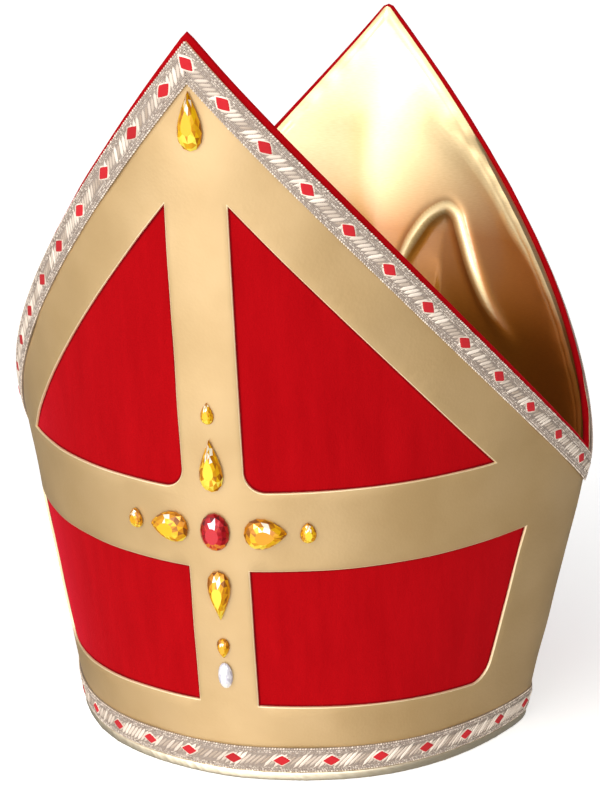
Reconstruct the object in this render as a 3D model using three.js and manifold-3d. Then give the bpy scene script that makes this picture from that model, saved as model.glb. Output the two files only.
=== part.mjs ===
import * as THREE from 'three';
import { mergeVertices } from 'three/addons/utils/BufferGeometryUtils.js';
import Module from 'manifold-3d';

// Bishop mitre: two stiff velvet panels joined at the side seams, each with a gold overlay, braid on its
// slanting edges and a satin lining, with a braid and a rolled binding round the lower rim and glued stones.
// Lengths are millimetres. The front faces -Y, +Z is up, and the lower rim rests on z = 0.

const wasm = await Module();
wasm.setup();

// Section of the panels at the lower rim, over the velvet
const RIM_HALF_WIDTH = 103.3;
const RIM_HALF_DEPTH = 98;
const SEAM_ROUNDNESS = 1.77;
const FACE_ROUNDNESS = 1.33;
const RIM_SHOULDER = 0.4;
const TIP_SHOULDER = -0.03;

// Flare of the panels above the rim: they lie on a cone whose point is this far below the rim
const CONE_DEPTH = 483;
const SIDE_EASE = 0.052;
const FACE_EASE = 0.066;
const SHAPE_HEIGHT = 320;

// Outline of the flat pattern
const FRONT_HEIGHT = 315.5;
const BACK_HEIGHT = 322;
const SEAM_HEIGHT = 131.5;
const FRONT_TIP_RADIUS = 1.2;
const BACK_TIP_RADIUS = 4;

// Thicknesses and clearances
const BOARD_THICKNESS = 2.4;
const OVERLAY_THICKNESS = 0.8;
const BRAID_THICKNESS = 1;
const BRAID_CROWN = 0.4;
const LINING_THICKNESS = 0.8;
const GLUE_GAP = 0.3;

// Gold overlay: a border and a cross between four windows, measured on the flat pattern
const BAR_HALF_WIDTH = 12.8;
const UPPER_WINDOW_BOTTOM = 133.5;
const UPPER_WINDOW_RISE = 12.6;
const LOWER_WINDOW_TOP = 98.8;
const LOWER_WINDOW_RISE = 10.8;
const LOWER_WINDOW_BOTTOM = 35.9;
const LOWER_WINDOW_DROP = 3.1;
const EDGE_BORDER = 33.7;
const SEAM_BORDER = 39.2;
const INNER_CORNER_RADIUS = 9;
const OUTER_CORNER_RADIUS = 10;
const OVERLAY_INSET = 2.6;

// Braid, binding and lining edges
const BRAID_WIDTH = 10.6;
const BRAID_INSET = 2.3;
const BASE_BRAID_WIDTH = 11.8;
const BINDING_HEIGHT = 4.2;
const LINING_INSET = 1.6;

// Rolled binding: wall, swell of the roll, thickness of its sole, and the roll's rows as shares of these
const BINDING_WALL = 1;
const BINDING_SWELL = 0.9;
const BINDING_SOLE = 0.8;
const BINDING_ROLL = [
  { swell: 0.8, up: 0.75 },
  { swell: 1, up: 0.45 },
  { swell: 0.6, up: 0.15 },
];

// Stones: outline size, height over the flat back, and how strongly the outline narrows to a point
const SLIM_DROP = { width: 9.8, length: 22.2, depth: 3.8, taper: 1.3 };
const WIDE_DROP = { width: 13.4, length: 17.2, depth: 4.2, taper: 0.7 };
const SMALL_DROP = { width: 5.4, length: 9, depth: 2.4, taper: 0.8 };
const SIDE_PEAR = { width: 6.6, length: 8.8, depth: 2.4, taper: 0.4 };
const RUBY_OVAL = { width: 12.2, length: 16.4, depth: 4.6, taper: 0 };
const CLEAR_OVAL = { width: 6.2, length: 12, depth: 2.8, taper: 0 };
const TOP_STONE_DROP = 33;
const STONE_SIDES = 12;
const GIRDLE_SHARE = 0.25;
const CROWN_SHARE = 0.68;
const CROWN_SCALE = 0.8;
const TABLE_SCALE = 0.46;

// Gaps between the stones of the cross, going outwards from the centre stone
const SLIM_DROP_GAP = 9.5;
const WIDE_DROP_GAP = 5.5;
const UPPER_SMALL_GAP = 6.6;
const LOWER_SMALL_GAP = 8.8;
const SIDE_PEAR_GAP = 5.4;
const CLEAR_OVAL_GAP = 2.4;

// Arms of stones round the centre stone. A stone's point looks outwards, or up where it is upright.
const STONE_ARMS = [
  { turn: 0, stones: [
    { name: 'stone_drop_up', cut: SLIM_DROP, finish: 'amber', gap: SLIM_DROP_GAP },
    { name: 'stone_small_up', cut: SMALL_DROP, finish: 'amber', gap: UPPER_SMALL_GAP },
  ] },
  { turn: 180, stones: [
    { name: 'stone_drop_down', cut: SLIM_DROP, finish: 'amber', gap: SLIM_DROP_GAP },
    { name: 'stone_small_down', cut: SMALL_DROP, finish: 'amber', gap: LOWER_SMALL_GAP },
    { name: 'stone_clear', cut: CLEAR_OVAL, finish: 'clear', gap: CLEAR_OVAL_GAP },
  ] },
  { turn: 90, stones: [
    { name: 'stone_drop_left', cut: WIDE_DROP, finish: 'amber', gap: WIDE_DROP_GAP },
    { name: 'stone_small_left', cut: SIDE_PEAR, finish: 'amber', gap: SIDE_PEAR_GAP, upright: true },
  ] },
  { turn: -90, stones: [
    { name: 'stone_drop_right', cut: WIDE_DROP, finish: 'amber', gap: WIDE_DROP_GAP },
    { name: 'stone_small_right', cut: SIDE_PEAR, finish: 'amber', gap: SIDE_PEAR_GAP, upright: true },
  ] },
];

// Folds of the satin inside the back horn. Each is a soft ridge along a bent line: the across columns are
// shares of the pattern's half width at the seam top, and the up columns are shares of its height.
const FOLD_HEIGHT = 3;
const FOLD_WIDTH = 13;
const SATIN_FOLDS = [
  { acrossA: 0.07, upA: 0.58, acrossB: 0.11, upB: 0.66, acrossC: 0.21, upC: 0.67, height: 1, width: 0.8 },
  { acrossA: 0.21, upA: 0.67, acrossB: 0.31, upB: 0.62, acrossC: 0.49, upC: 0.46, height: 1, width: 0.9 },
  { acrossA: 0.14, upA: 0.78, acrossB: 0.47, upB: 0.67, acrossC: 0.8, upC: 0.41, height: 0.7, width: 1.3 },
];

// Fineness of the facets
const HALF_COLUMNS = 14;
const PANEL_ROWS = 4;
const LINING_ROWS = 9;
const WINDOW_COLUMNS = 8;
const WINDOW_ROWS = 3;
const CORNER_STEPS = 3;
const TIP_COLUMN_SHARE = 0.75;
const RULING_STEPS = 400;
const SLOPE_SHARE = 0.02;
const FRONT = -1;
const BACK = 1;

const MATERIALS = {
  velvet: { color: '#b30c16', roughness: 0.9, metalness: 0 },
  leatherette: { color: '#c9b07c', roughness: 0.42, metalness: 0.35 },
  braid: { color: '#b8b0a6', roughness: 0.5, metalness: 0.3 },
  satin: { color: '#c9a35a', roughness: 0.35, metalness: 0.2 },
  amber: { color: '#e8a008', roughness: 0.08, metalness: 0 },
  ruby: { color: '#c4121c', roughness: 0.08, metalness: 0 },
  clear: { color: '#f0f0f2', roughness: 0.06, metalness: 0 },
};

const { lerp, degToRad } = THREE.MathUtils;

// Straight lines of the cone from the panel's centre line to its side seam. Each row gives the line's
// direction, its length down to the rim, and its angle from the centre line in the flat pattern.
function makeRulings() {
  const rulings = [];
  let angle = 0;
  for (let step = 0; step <= RULING_STEPS; step += 1) {
    const turn = (step / RULING_STEPS) * (Math.PI / 2);
    const across = RIM_HALF_WIDTH * Math.sin(turn) ** (2 / SEAM_ROUNDNESS);
    const out = RIM_HALF_DEPTH * Math.abs(Math.cos(turn)) ** (2 / FACE_ROUNDNESS);
    const line = new THREE.Vector3(across, out, CONE_DEPTH);
    const rimReach = line.length();
    line.normalize();
    if (step > 0) {
      angle += line.angleTo(rulings[step - 1].line);
    }
    rulings.push({ angle, line, rimReach });
  }
  return rulings;
}

const rulings = makeRulings();
const seamAngle = rulings[RULING_STEPS].angle;
const centreReach = rulings[0].rimReach;
const seamTopReach = rulings[RULING_STEPS].rimReach + SEAM_HEIGHT;
const seamTop = new THREE.Vector2(
  seamTopReach * Math.sin(seamAngle),
  seamTopReach * Math.cos(seamAngle) - centreReach,
);

// The cone's line at an angle of the flat pattern, between the two nearest rulings
function rulingAt(angle) {
  const wanted = Math.min(Math.abs(angle), seamAngle);
  let low = 0;
  let high = RULING_STEPS;
  while (high - low > 1) {
    const middle = (low + high) >> 1;
    if (rulings[middle].angle <= wanted) {
      low = middle;
    } else {
      high = middle;
    }
  }
  const share = (wanted - rulings[low].angle) / (rulings[high].angle - rulings[low].angle);
  const line = rulings[low].line.clone().lerp(rulings[high].line, share).normalize();
  line.x *= angle < 0 ? -1 : 1;
  return { line, rimReach: lerp(rulings[low].rimReach, rulings[high].rimReach, share) };
}

// Point of the velvet's outer face at an angle and a distance from the cone's point
function facePoint(side, angle, reach) {
  const point = rulingAt(angle).line.multiplyScalar(reach);
  const z = point.z - CONE_DEPTH;
  const rise = z / SHAPE_HEIGHT;
  const spread = 1 + z / CONE_DEPTH;
  const across = Math.min((point.x / (RIM_HALF_WIDTH * spread)) ** 2, 1);
  const shoulder = lerp(RIM_SHOULDER, TIP_SHOULDER, rise) * across * (1 - across);
  const out = point.y * (1 - FACE_EASE * rise ** 2) + RIM_HALF_DEPTH * spread * shoulder;
  return new THREE.Vector3(point.x * (1 - SIDE_EASE * rise ** 2), side * out, z);
}

// Outward direction of the velvet's face. At the side seam the panel is cut square, so it points sideways.
function faceNormal(side, angle, reach) {
  const climb = facePoint(side, angle, reach + 1).sub(facePoint(side, angle, reach - 1));
  const step = seamAngle * SLOPE_SHARE;
  const sideways = new THREE.Vector3(0, side, 0);
  if (Math.abs(angle) < seamAngle - 1e-6) {
    const before = facePoint(side, Math.max(angle - step, -seamAngle), reach);
    const after = facePoint(side, Math.min(angle + step, seamAngle), reach);
    sideways.copy(after).sub(before);
  }
  const normal = sideways.cross(climb).normalize();
  const outwards = new THREE.Vector3(Math.sign(angle) * Math.abs(angle / seamAngle), side, 0);
  return normal.dot(outwards) < 0 ? normal.negate() : normal;
}

// Point at an offset from the velvet's face, kept clear of the plane between the two panels
function skinPoint(side, angle, reach, offset) {
  const point = facePoint(side, angle, reach).addScaledVector(faceNormal(side, angle, reach), offset);
  point.y = side * Math.max(Math.abs(point.y), GLUE_GAP / 2);
  return point;
}

// Flat pattern position to the angle and distance used above
function patternPolar(x, y) {
  return { angle: Math.atan2(x, y + centreReach), reach: Math.hypot(x, y + centreReach) };
}

function panelHeight(side) {
  return side === FRONT ? FRONT_HEIGHT : BACK_HEIGHT;
}

function tipRadius(side) {
  return side === FRONT ? FRONT_TIP_RADIUS : BACK_TIP_RADIUS;
}

// Inward unit normal of the slanting edge in the flat pattern, for the right half
function edgeNormal(side) {
  const along = new THREE.Vector2(seamTop.x, seamTop.y - panelHeight(side)).normalize();
  return new THREE.Vector2(along.y, -along.x);
}

// Distance from the cone's point to a line inset from the slanting edge, blunted near the tip
function edgeReach(side, angle, inset) {
  const normal = edgeNormal(side);
  const height = panelHeight(side) + centreReach;
  const turn = Math.abs(angle);
  const line = (normal.y * height + inset) / (normal.x * Math.sin(turn) + normal.y * Math.cos(turn));
  const radius = tipRadius(side) - inset;
  if (radius <= 0) {
    return line;
  }
  const arcCentre = height + tipRadius(side) / normal.y;
  const arcX = line * Math.sin(turn);
  if (arcX > radius * Math.abs(normal.x)) {
    return line;
  }
  return Math.min(line, (arcCentre + Math.sqrt(radius ** 2 - arcX ** 2)) / Math.cos(turn));
}

// Height on the flat pattern of a curve that runs a given way above the rim, plus a rise towards the seam
function curveHeight(x, aboveRim, rise) {
  let y = aboveRim;
  for (let round = 0; round < 12; round += 1) {
    const { angle } = patternPolar(x, y);
    const reach = rulingAt(angle).rimReach + aboveRim + rise * (angle / seamAngle) ** 2;
    y = Math.sqrt(reach ** 2 - x ** 2) - centreReach;
  }
  return y;
}

// The place between two bounds where a rising function reaches zero
function findZero(rising, from, to) {
  let low = from;
  let high = to;
  for (let round = 0; round < 50; round += 1) {
    const middle = (low + high) / 2;
    if (rising(middle) < 0) {
      low = middle;
    } else {
      high = middle;
    }
  }
  return (low + high) / 2;
}

// Angles of a panel's columns from seam to seam, with extra ones beside the tip
function columnAngles() {
  const tip = Math.atan2(BACK_TIP_RADIUS * TIP_COLUMN_SHARE, centreReach + BACK_HEIGHT);
  const half = [0, tip / 2, tip];
  for (let column = 1; column <= HALF_COLUMNS; column += 1) {
    half.push((seamAngle * column) / HALF_COLUMNS);
  }
  const mirrored = half.slice(1).reverse().map((angle) => -angle);
  return [...mirrored, ...half];
}

// Closed surface from triangles, turned so that its faces point outwards
function closedGeometry(points, triangles) {
  let volume = 0;
  for (const [a, b, c] of triangles) {
    volume += points[a].dot(new THREE.Vector3().crossVectors(points[b], points[c]));
  }
  const index = triangles.flatMap(([a, b, c]) => (volume < 0 ? [a, c, b] : [a, b, c]));
  const positions = points.flatMap((point) => [point.x, point.y, point.z]);
  const geometry = new THREE.BufferGeometry();
  geometry.setAttribute('position', new THREE.Float32BufferAttribute(positions, 3));
  geometry.setIndex(index);
  return mergeVertices(geometry, 1e-4);
}

// Solid swept through sections, each a closed ring of points. An open sweep gets flat end caps that follow
// the section's two long sides; a looped sweep joins its last section to its first.
function sweepSolid(sections, looped) {
  const size = sections[0].length;
  const points = sections.flat();
  const triangles = [];
  const spans = looped ? sections.length : sections.length - 1;
  for (let span = 0; span < spans; span += 1) {
    const here = span * size;
    const next = ((span + 1) % sections.length) * size;
    for (let corner = 0; corner < size; corner += 1) {
      const after = (corner + 1) % size;
      triangles.push([here + corner, here + after, next + after]);
      triangles.push([here + corner, next + after, next + corner]);
    }
  }
  if (!looped) {
    const last = (sections.length - 1) * size;
    for (let pair = 0; pair < size / 2 - 1; pair += 1) {
      const far = size - 1 - pair;
      triangles.push([pair, far, pair + 1], [pair + 1, far, far - 1]);
      triangles.push([last + pair, last + pair + 1, last + far]);
      triangles.push([last + pair + 1, last + far - 1, last + far]);
    }
  }
  return closedGeometry(points, triangles.filter(([a, b, c]) => {
    return points[a].distanceTo(points[b]) > 1e-4
      && points[b].distanceTo(points[c]) > 1e-4
      && points[c].distanceTo(points[a]) > 1e-4;
  }));
}

// Sheet with an outer and an inner face, over columns of angles. Bottom and top give the reach of its two
// edges at an angle, and the offsets may depend on the place.
function sheetSolid(side, angles, rows, bottom, top, outerOffset, innerOffset) {
  const sections = angles.map((angle) => {
    const outer = [];
    const inner = [];
    for (let row = 0; row <= rows; row += 1) {
      const reach = lerp(bottom(angle), top(angle), row / rows);
      outer.push(skinPoint(side, angle, reach, outerOffset(angle, reach)));
      inner.push(skinPoint(side, angle, reach, innerOffset(angle, reach)));
    }
    return [...outer, ...inner.reverse()];
  });
  return sweepSolid(sections, false);
}

function rimReach(angle) {
  return rulingAt(angle).rimReach;
}

function toManifold(geometry) {
  const numbers = geometry.getAttribute('position').array;
  const mesh = new wasm.Mesh({
    numProp: 3,
    vertProperties: new Float32Array(numbers),
    triVerts: new Uint32Array(geometry.getIndex().array),
  });
  return new wasm.Manifold(mesh);
}

function fromManifold(solid) {
  const mesh = solid.getMesh();
  const geometry = new THREE.BufferGeometry();
  geometry.setAttribute('position', new THREE.BufferAttribute(new Float32Array(mesh.vertProperties), 3));
  geometry.setIndex(new THREE.BufferAttribute(new Uint32Array(mesh.triVerts), 1));
  return geometry;
}

// Velvet-covered board of one panel
const boardBottom = BINDING_SOLE + GLUE_GAP;

function boardGeometry(side) {
  const bottom = (angle) => rimReach(angle) + boardBottom;
  const top = (angle) => edgeReach(side, angle, 0);
  return sheetSolid(side, columnAngles(), PANEL_ROWS, bottom, top, () => 0, () => -BOARD_THICKNESS);
}

// Windows of the overlay in the flat pattern, right half, as columns of x with a lower and an upper y
const trimBottom = BINDING_HEIGHT + 2 * GLUE_GAP;

function seamBorderHeight(x, border) {
  return (x * Math.cos(seamAngle) + border) / Math.sin(seamAngle) - centreReach;
}

function upperWindow(side) {
  const normal = edgeNormal(side);
  const sill = (x) => curveHeight(x, UPPER_WINDOW_BOTTOM, UPPER_WINDOW_RISE);
  const slope = (x) => panelHeight(side) + (EDGE_BORDER - normal.x * x) / normal.y;
  const corner = findZero((x) => sill(x) - slope(x), BAR_HALF_WIDTH, seamTop.x);
  const columns = [];
  for (let step = 0; step < CORNER_STEPS; step += 1) {
    const turn = (step / CORNER_STEPS) * (Math.PI / 2);
    const x = BAR_HALF_WIDTH + INNER_CORNER_RADIUS * (1 - Math.cos(turn));
    columns.push({ x, low: sill(x) + INNER_CORNER_RADIUS * (1 - Math.sin(turn)), high: slope(x) });
  }
  for (let step = 0; step <= WINDOW_COLUMNS; step += 1) {
    const x = lerp(BAR_HALF_WIDTH + INNER_CORNER_RADIUS, corner, step / WINDOW_COLUMNS);
    columns.push({ x, low: sill(x), high: slope(x) });
  }
  return columns;
}

function lowerWindow() {
  const sill = (x) => curveHeight(x, LOWER_WINDOW_BOTTOM, -LOWER_WINDOW_DROP);
  const head = (x) => curveHeight(x, LOWER_WINDOW_TOP, LOWER_WINDOW_RISE);
  const radius = OUTER_CORNER_RADIUS;
  const inner = (x) => seamBorderHeight(x, SEAM_BORDER + radius) - sill(x) - radius;
  const arcX = findZero(inner, BAR_HALF_WIDTH, seamTop.x);
  const arcY = sill(arcX) + radius;
  const corner = findZero((x) => seamBorderHeight(x, SEAM_BORDER) - head(x), BAR_HALF_WIDTH, seamTop.x);
  const columns = [];
  for (let step = 0; step < WINDOW_COLUMNS; step += 1) {
    const x = lerp(BAR_HALF_WIDTH, arcX, step / WINDOW_COLUMNS);
    columns.push({ x, low: sill(x), high: head(x) });
  }
  for (let step = 0; step <= CORNER_STEPS; step += 1) {
    const turn = (step / CORNER_STEPS) * (Math.PI / 2 - seamAngle);
    const x = arcX + radius * Math.sin(turn);
    columns.push({ x, low: arcY - radius * Math.cos(turn), high: head(x) });
  }
  columns.push({ x: corner, low: head(corner), high: head(corner) });
  return columns;
}

// Cutter for one window, reaching well past both faces of the overlay
function windowCutter(side, columns, mirror) {
  const reachOut = OVERLAY_THICKNESS * 5;
  const sections = columns.map(({ x, low, high }) => {
    const outer = [];
    const inner = [];
    for (let row = 0; row <= WINDOW_ROWS; row += 1) {
      const { angle, reach } = patternPolar(mirror * x, lerp(low, high, row / WINDOW_ROWS));
      outer.push(skinPoint(side, angle, reach, reachOut));
      inner.push(skinPoint(side, angle, reach, -reachOut));
    }
    return [...outer, ...inner.reverse()];
  });
  return toManifold(sweepSolid(sections, false));
}

function overlayGeometry(side) {
  const bottom = (angle) => rimReach(angle) + trimBottom;
  const top = (angle) => edgeReach(side, angle, OVERLAY_INSET);
  const outer = () => GLUE_GAP + OVERLAY_THICKNESS;
  const inner = () => GLUE_GAP;
  const sheet = sheetSolid(side, columnAngles(), PANEL_ROWS, bottom, top, outer, inner);
  let overlay = toManifold(sheet);
  for (const columns of [upperWindow(side), lowerWindow()]) {
    for (const mirror of [-1, 1]) {
      overlay = overlay.subtract(windowCutter(side, columns, mirror));
    }
  }
  return fromManifold(overlay);
}

// Braid: a flat band with a slightly raised middle, on top of the overlay
const braidFloor = 2 * GLUE_GAP + OVERLAY_THICKNESS;

function braidOffsets() {
  return [
    { across: 0, offset: braidFloor + BRAID_THICKNESS },
    { across: 0.5, offset: braidFloor + BRAID_THICKNESS + BRAID_CROWN },
    { across: 1, offset: braidFloor + BRAID_THICKNESS },
    { across: 1, offset: braidFloor },
    { across: 0.5, offset: braidFloor },
    { across: 0, offset: braidFloor },
  ];
}

// Braid along one slanting edge, mitred on the centre line and cut at the side seam
function edgeBraidGeometry(side, hand) {
  const start = Math.atan2(GLUE_GAP / 2, centreReach + panelHeight(side));
  const angles = [start, ...columnAngles().filter((angle) => angle > start)];
  const sections = angles.map((angle) => {
    const top = edgeReach(side, angle, BRAID_INSET);
    const bottom = edgeReach(side, angle, BRAID_INSET + BRAID_WIDTH);
    return braidOffsets().map(({ across, offset }) => {
      return skinPoint(side, hand * angle, lerp(top, bottom, across), offset);
    });
  });
  return sweepSolid(sections, false);
}

// Columns once round the lower rim: along the front, then back along the rear panel
function ringColumns() {
  const angles = columnAngles();
  const front = angles.map((angle) => ({ side: FRONT, angle }));
  const back = angles.slice(1, -1).reverse().map((angle) => ({ side: BACK, angle }));
  return [...front, ...back];
}

function baseBraidGeometry() {
  const sections = ringColumns().map(({ side, angle }) => {
    const bottom = rimReach(angle) + trimBottom;
    return braidOffsets().map(({ across, offset }) => {
      const reach = bottom + BASE_BRAID_WIDTH * (1 - across);
      return facePoint(side, angle, reach).addScaledVector(faceNormal(side, angle, reach), offset);
    });
  });
  return sweepSolid(sections, true);
}

// Rolled binding round the lower rim: a channel whose flat sole lies on the surface below
function bindingProfile() {
  const outside = GLUE_GAP + BINDING_WALL;
  const innerFace = -(BOARD_THICKNESS + 2 * GLUE_GAP);
  const inside = innerFace - BINDING_WALL;
  const innerRoll = [...BINDING_ROLL].reverse();
  return [
    { out: GLUE_GAP, up: BINDING_HEIGHT },
    { out: outside, up: BINDING_HEIGHT },
    ...BINDING_ROLL.map((row) => ({
      out: outside + BINDING_SWELL * row.swell,
      up: BINDING_HEIGHT * row.up,
    })),
    { out: outside, up: 0 },
    { out: inside, up: 0 },
    ...innerRoll.map((row) => ({
      out: inside - BINDING_SWELL * row.swell,
      up: BINDING_HEIGHT * row.up,
    })),
    { out: inside, up: BINDING_HEIGHT },
    { out: innerFace, up: BINDING_HEIGHT },
    { out: innerFace, up: BINDING_SOLE },
    { out: GLUE_GAP, up: BINDING_SOLE },
  ];
}

function bindingGeometry() {
  const sections = ringColumns().map(({ side, angle }) => {
    const { line, rimReach: rim } = rulingAt(angle);
    return bindingProfile().map(({ out, up }) => {
      const reach = rim + up / line.z;
      const level = faceNormal(side, angle, reach).setZ(0).normalize();
      return facePoint(side, angle, reach).addScaledVector(level, out);
    });
  });
  return sweepSolid(sections, true);
}

// Height of the satin's folds at a place of the flat pattern
function foldHeight(side, x, y) {
  if (side === FRONT) {
    return 0;
  }
  const place = new THREE.Vector2(x, y);
  let height = 0;
  for (const fold of SATIN_FOLDS) {
    const line = new THREE.QuadraticBezierCurve(
      new THREE.Vector2(fold.acrossA * seamTop.x, fold.upA * BACK_HEIGHT),
      new THREE.Vector2(fold.acrossB * seamTop.x, fold.upB * BACK_HEIGHT),
      new THREE.Vector2(fold.acrossC * seamTop.x, fold.upC * BACK_HEIGHT),
    );
    const away = Math.min(...line.getPoints(12).map((point) => point.distanceTo(place)));
    const share = away / (FOLD_WIDTH * fold.width);
    height = Math.max(height, FOLD_HEIGHT * fold.height * Math.exp(-(share ** 2)));
  }
  return height;
}

function liningGeometry(side) {
  const bottom = (angle) => rimReach(angle) + trimBottom;
  const top = (angle) => edgeReach(side, angle, LINING_INSET);
  const back = -(BOARD_THICKNESS + GLUE_GAP);
  const face = (angle, reach) => {
    const x = reach * Math.sin(angle);
    const y = reach * Math.cos(angle) - centreReach;
    return back - LINING_THICKNESS - foldHeight(side, x, y);
  };
  const rows = side === BACK ? LINING_ROWS : PANEL_ROWS;
  return sheetSolid(side, columnAngles(), rows, bottom, top, () => back, face);
}

// Flat-backed stone with a girdle, two rows of facets and a table. Its point looks along +Y.
function stoneGeometry({ width, length, depth, taper }) {
  const steps = STONE_SIDES * 2;
  const outline = [];
  for (let step = 0; step < steps; step += 1) {
    const turn = (step / steps) * Math.PI * 2;
    const narrow = Math.abs(Math.sin(turn / 2)) ** taper;
    outline.push(new THREE.Vector2(Math.sin(turn) * narrow, Math.cos(turn)));
  }
  const widest = Math.max(...outline.map((point) => point.x));
  const ring = (scale, z, start) => {
    const points = [];
    for (let step = start; step < steps; step += 2) {
      const { x, y } = outline[step];
      points.push(new THREE.Vector3((x / widest) * (width / 2) * scale, y * (length / 2) * scale, z));
    }
    return points;
  };
  const rings = [
    ring(1, 0, 0),
    ring(1, depth * GIRDLE_SHARE, 0),
    ring(CROWN_SCALE, depth * CROWN_SHARE, 1),
    ring(TABLE_SCALE, depth, 0),
  ];
  const points = rings.flat();
  const triangles = [];
  for (let level = 0; level < rings.length - 1; level += 1) {
    const low = level * STONE_SIDES;
    const high = low + STONE_SIDES;
    for (let corner = 0; corner < STONE_SIDES; corner += 1) {
      const after = (corner + 1) % STONE_SIDES;
      const across = level === 1 ? corner : after;
      triangles.push([low + corner, low + after, high + across]);
      triangles.push([level === 1 ? low + after : low + corner, high + after, high + corner]);
    }
  }
  const back = points.push(new THREE.Vector3(0, 0, 0)) - 1;
  const table = points.push(new THREE.Vector3(0, 0, depth)) - 1;
  const tableRing = (rings.length - 1) * STONE_SIDES;
  for (let corner = 0; corner < STONE_SIDES; corner += 1) {
    const after = (corner + 1) % STONE_SIDES;
    triangles.push([back, after, corner], [table, tableRing + corner, tableRing + after]);
  }
  return closedGeometry(points, triangles);
}

const mitre = new THREE.Group();

function addPiece(name, geometry, finish) {
  geometry.computeVertexNormals();
  const material = new THREE.MeshStandardMaterial({ ...MATERIALS[finish], flatShading: true });
  const mesh = new THREE.Mesh(geometry, material);
  mesh.name = name;
  mitre.add(mesh);
  return mesh;
}

// Stone glued on the front overlay at a place of the flat pattern, turned in the panel's plane
function addStone(name, cut, finish, x, y, turn) {
  const mesh = addPiece(name, stoneGeometry(cut), finish);
  const { angle, reach } = patternPolar(x, y);
  const above = patternPolar(x, y + 1);
  const seat = skinPoint(FRONT, angle, reach, braidFloor);
  const normal = faceNormal(FRONT, angle, reach);
  const up = facePoint(FRONT, above.angle, above.reach).sub(facePoint(FRONT, angle, reach));
  up.addScaledVector(normal, -up.dot(normal)).normalize();
  const right = new THREE.Vector3().crossVectors(up, normal);
  const basis = new THREE.Matrix4().makeBasis(right, up, normal);
  basis.multiply(new THREE.Matrix4().makeRotationZ(degToRad(turn)));
  mesh.quaternion.setFromRotationMatrix(basis);
  mesh.position.copy(seat);
}

for (const [side, label] of [[FRONT, 'front'], [BACK, 'back']]) {
  addPiece(`${label}_panel`, boardGeometry(side), 'velvet');
  addPiece(`${label}_overlay`, overlayGeometry(side), 'leatherette');
  addPiece(`${label}_lining`, liningGeometry(side), 'satin');
  addPiece(`${label}_braid_left`, edgeBraidGeometry(side, -1), 'braid');
  addPiece(`${label}_braid_right`, edgeBraidGeometry(side, 1), 'braid');
}
addPiece('base_braid', baseBraidGeometry(), 'braid');
addPiece('rim_binding', bindingGeometry(), 'satin');

// Stones: one under the tip, one at the middle of the cross, and the arms round it
const crossHeight = (UPPER_WINDOW_BOTTOM + LOWER_WINDOW_TOP) / 2;
const crossRise = (UPPER_WINDOW_RISE + LOWER_WINDOW_RISE) / 2;
addStone('stone_top_drop', SLIM_DROP, 'amber', 0, FRONT_HEIGHT - TOP_STONE_DROP, 0);
addStone('stone_centre', RUBY_OVAL, 'ruby', 0, crossHeight, 0);
for (const { turn, stones } of STONE_ARMS) {
  const radians = degToRad(turn);
  const alongX = Math.round(-Math.sin(radians));
  const alongY = Math.round(Math.cos(radians));
  let away = (alongX === 0 ? RUBY_OVAL.length : RUBY_OVAL.width) / 2;
  for (const { name, cut, finish, gap, upright } of stones) {
    const halfSize = (upright ? cut.width : cut.length) / 2;
    away += gap + halfSize;
    const x = alongX * away;
    const y = curveHeight(x, crossHeight, crossRise) + alongY * away;
    addStone(name, cut, finish, x, y, upright ? 0 : turn);
    away += halfSize;
  }
}

export default mitre;
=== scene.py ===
"""Bishop mitre: stiff red velvet with a gold leatherette cross, silver braid, stones and a satin lining.

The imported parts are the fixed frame. Each class below builds one sub-assembly round them. Sizes are in
millimetres and become metres where a mesh is made. The front faces -Y, +Z is up, and the rim rests on z = 0.
"""
import logging
import math
from dataclasses import dataclass
from enum import Enum
from typing import ClassVar

import bpy
import numpy as np
from bpy.types import ID, Material, Mesh, Node, NodeSocket, NodeTree, Object
from mathutils import Matrix, Vector
from mathutils.geometry import delaunay_2d_cdt


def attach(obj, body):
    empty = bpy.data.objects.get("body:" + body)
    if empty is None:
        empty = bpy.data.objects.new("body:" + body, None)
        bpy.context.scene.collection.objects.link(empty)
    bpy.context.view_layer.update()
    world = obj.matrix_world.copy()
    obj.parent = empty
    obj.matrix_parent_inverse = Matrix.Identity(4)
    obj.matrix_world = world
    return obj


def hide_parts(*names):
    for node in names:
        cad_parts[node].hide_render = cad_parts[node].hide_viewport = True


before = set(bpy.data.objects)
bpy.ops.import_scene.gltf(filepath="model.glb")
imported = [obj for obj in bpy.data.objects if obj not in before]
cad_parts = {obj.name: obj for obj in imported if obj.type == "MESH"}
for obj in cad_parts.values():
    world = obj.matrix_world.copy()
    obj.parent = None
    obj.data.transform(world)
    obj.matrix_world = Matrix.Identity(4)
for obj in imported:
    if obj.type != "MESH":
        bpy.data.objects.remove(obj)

logging.basicConfig(level=logging.INFO, format="%(message)s")
log = logging.getLogger("mitre")

MM = 0.001
BODY = "root"
WHITE = (1.0, 1.0, 1.0, 1.0)
# Tones of a stone's facets with painted glints, low down and near the top.
LOW_GLINT = 0.85
TOP_GLINT = 1.0
# Least squared cosine of half a corner's turn, which keeps the sharp corners of a moved outline short.
LEAST_CORNER = 0.15


class Half(Enum):
    """One half of something that lies on both sides of an axis."""

    @property
    def label(self) -> str:
        """The half's name in the names of its pieces."""
        return self.name.lower()


class Side(Half):
    """The two panels of the mitre. The value is the sign of their Y."""

    FRONT = -1
    BACK = 1


class Hand(Half):
    """Left and right half of a panel. The value is the sign of their X."""

    LEFT = -1
    RIGHT = 1


def linear(code: str) -> tuple[float, float, float, float]:
    """Turns a colour from sRGB to linear.

    Args:
        code: The colour as a hex value, such as #C4070F.

    Returns:
        Red, green, blue and alpha in linear light.
    """
    shares = [int(code[place:place + 2], 16) / 255 for place in (1, 3, 5)]
    return tuple(c / 12.92 if c <= 0.04045 else ((c + 0.055) / 1.055) ** 2.4 for c in shares) + (1.0,)


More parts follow.
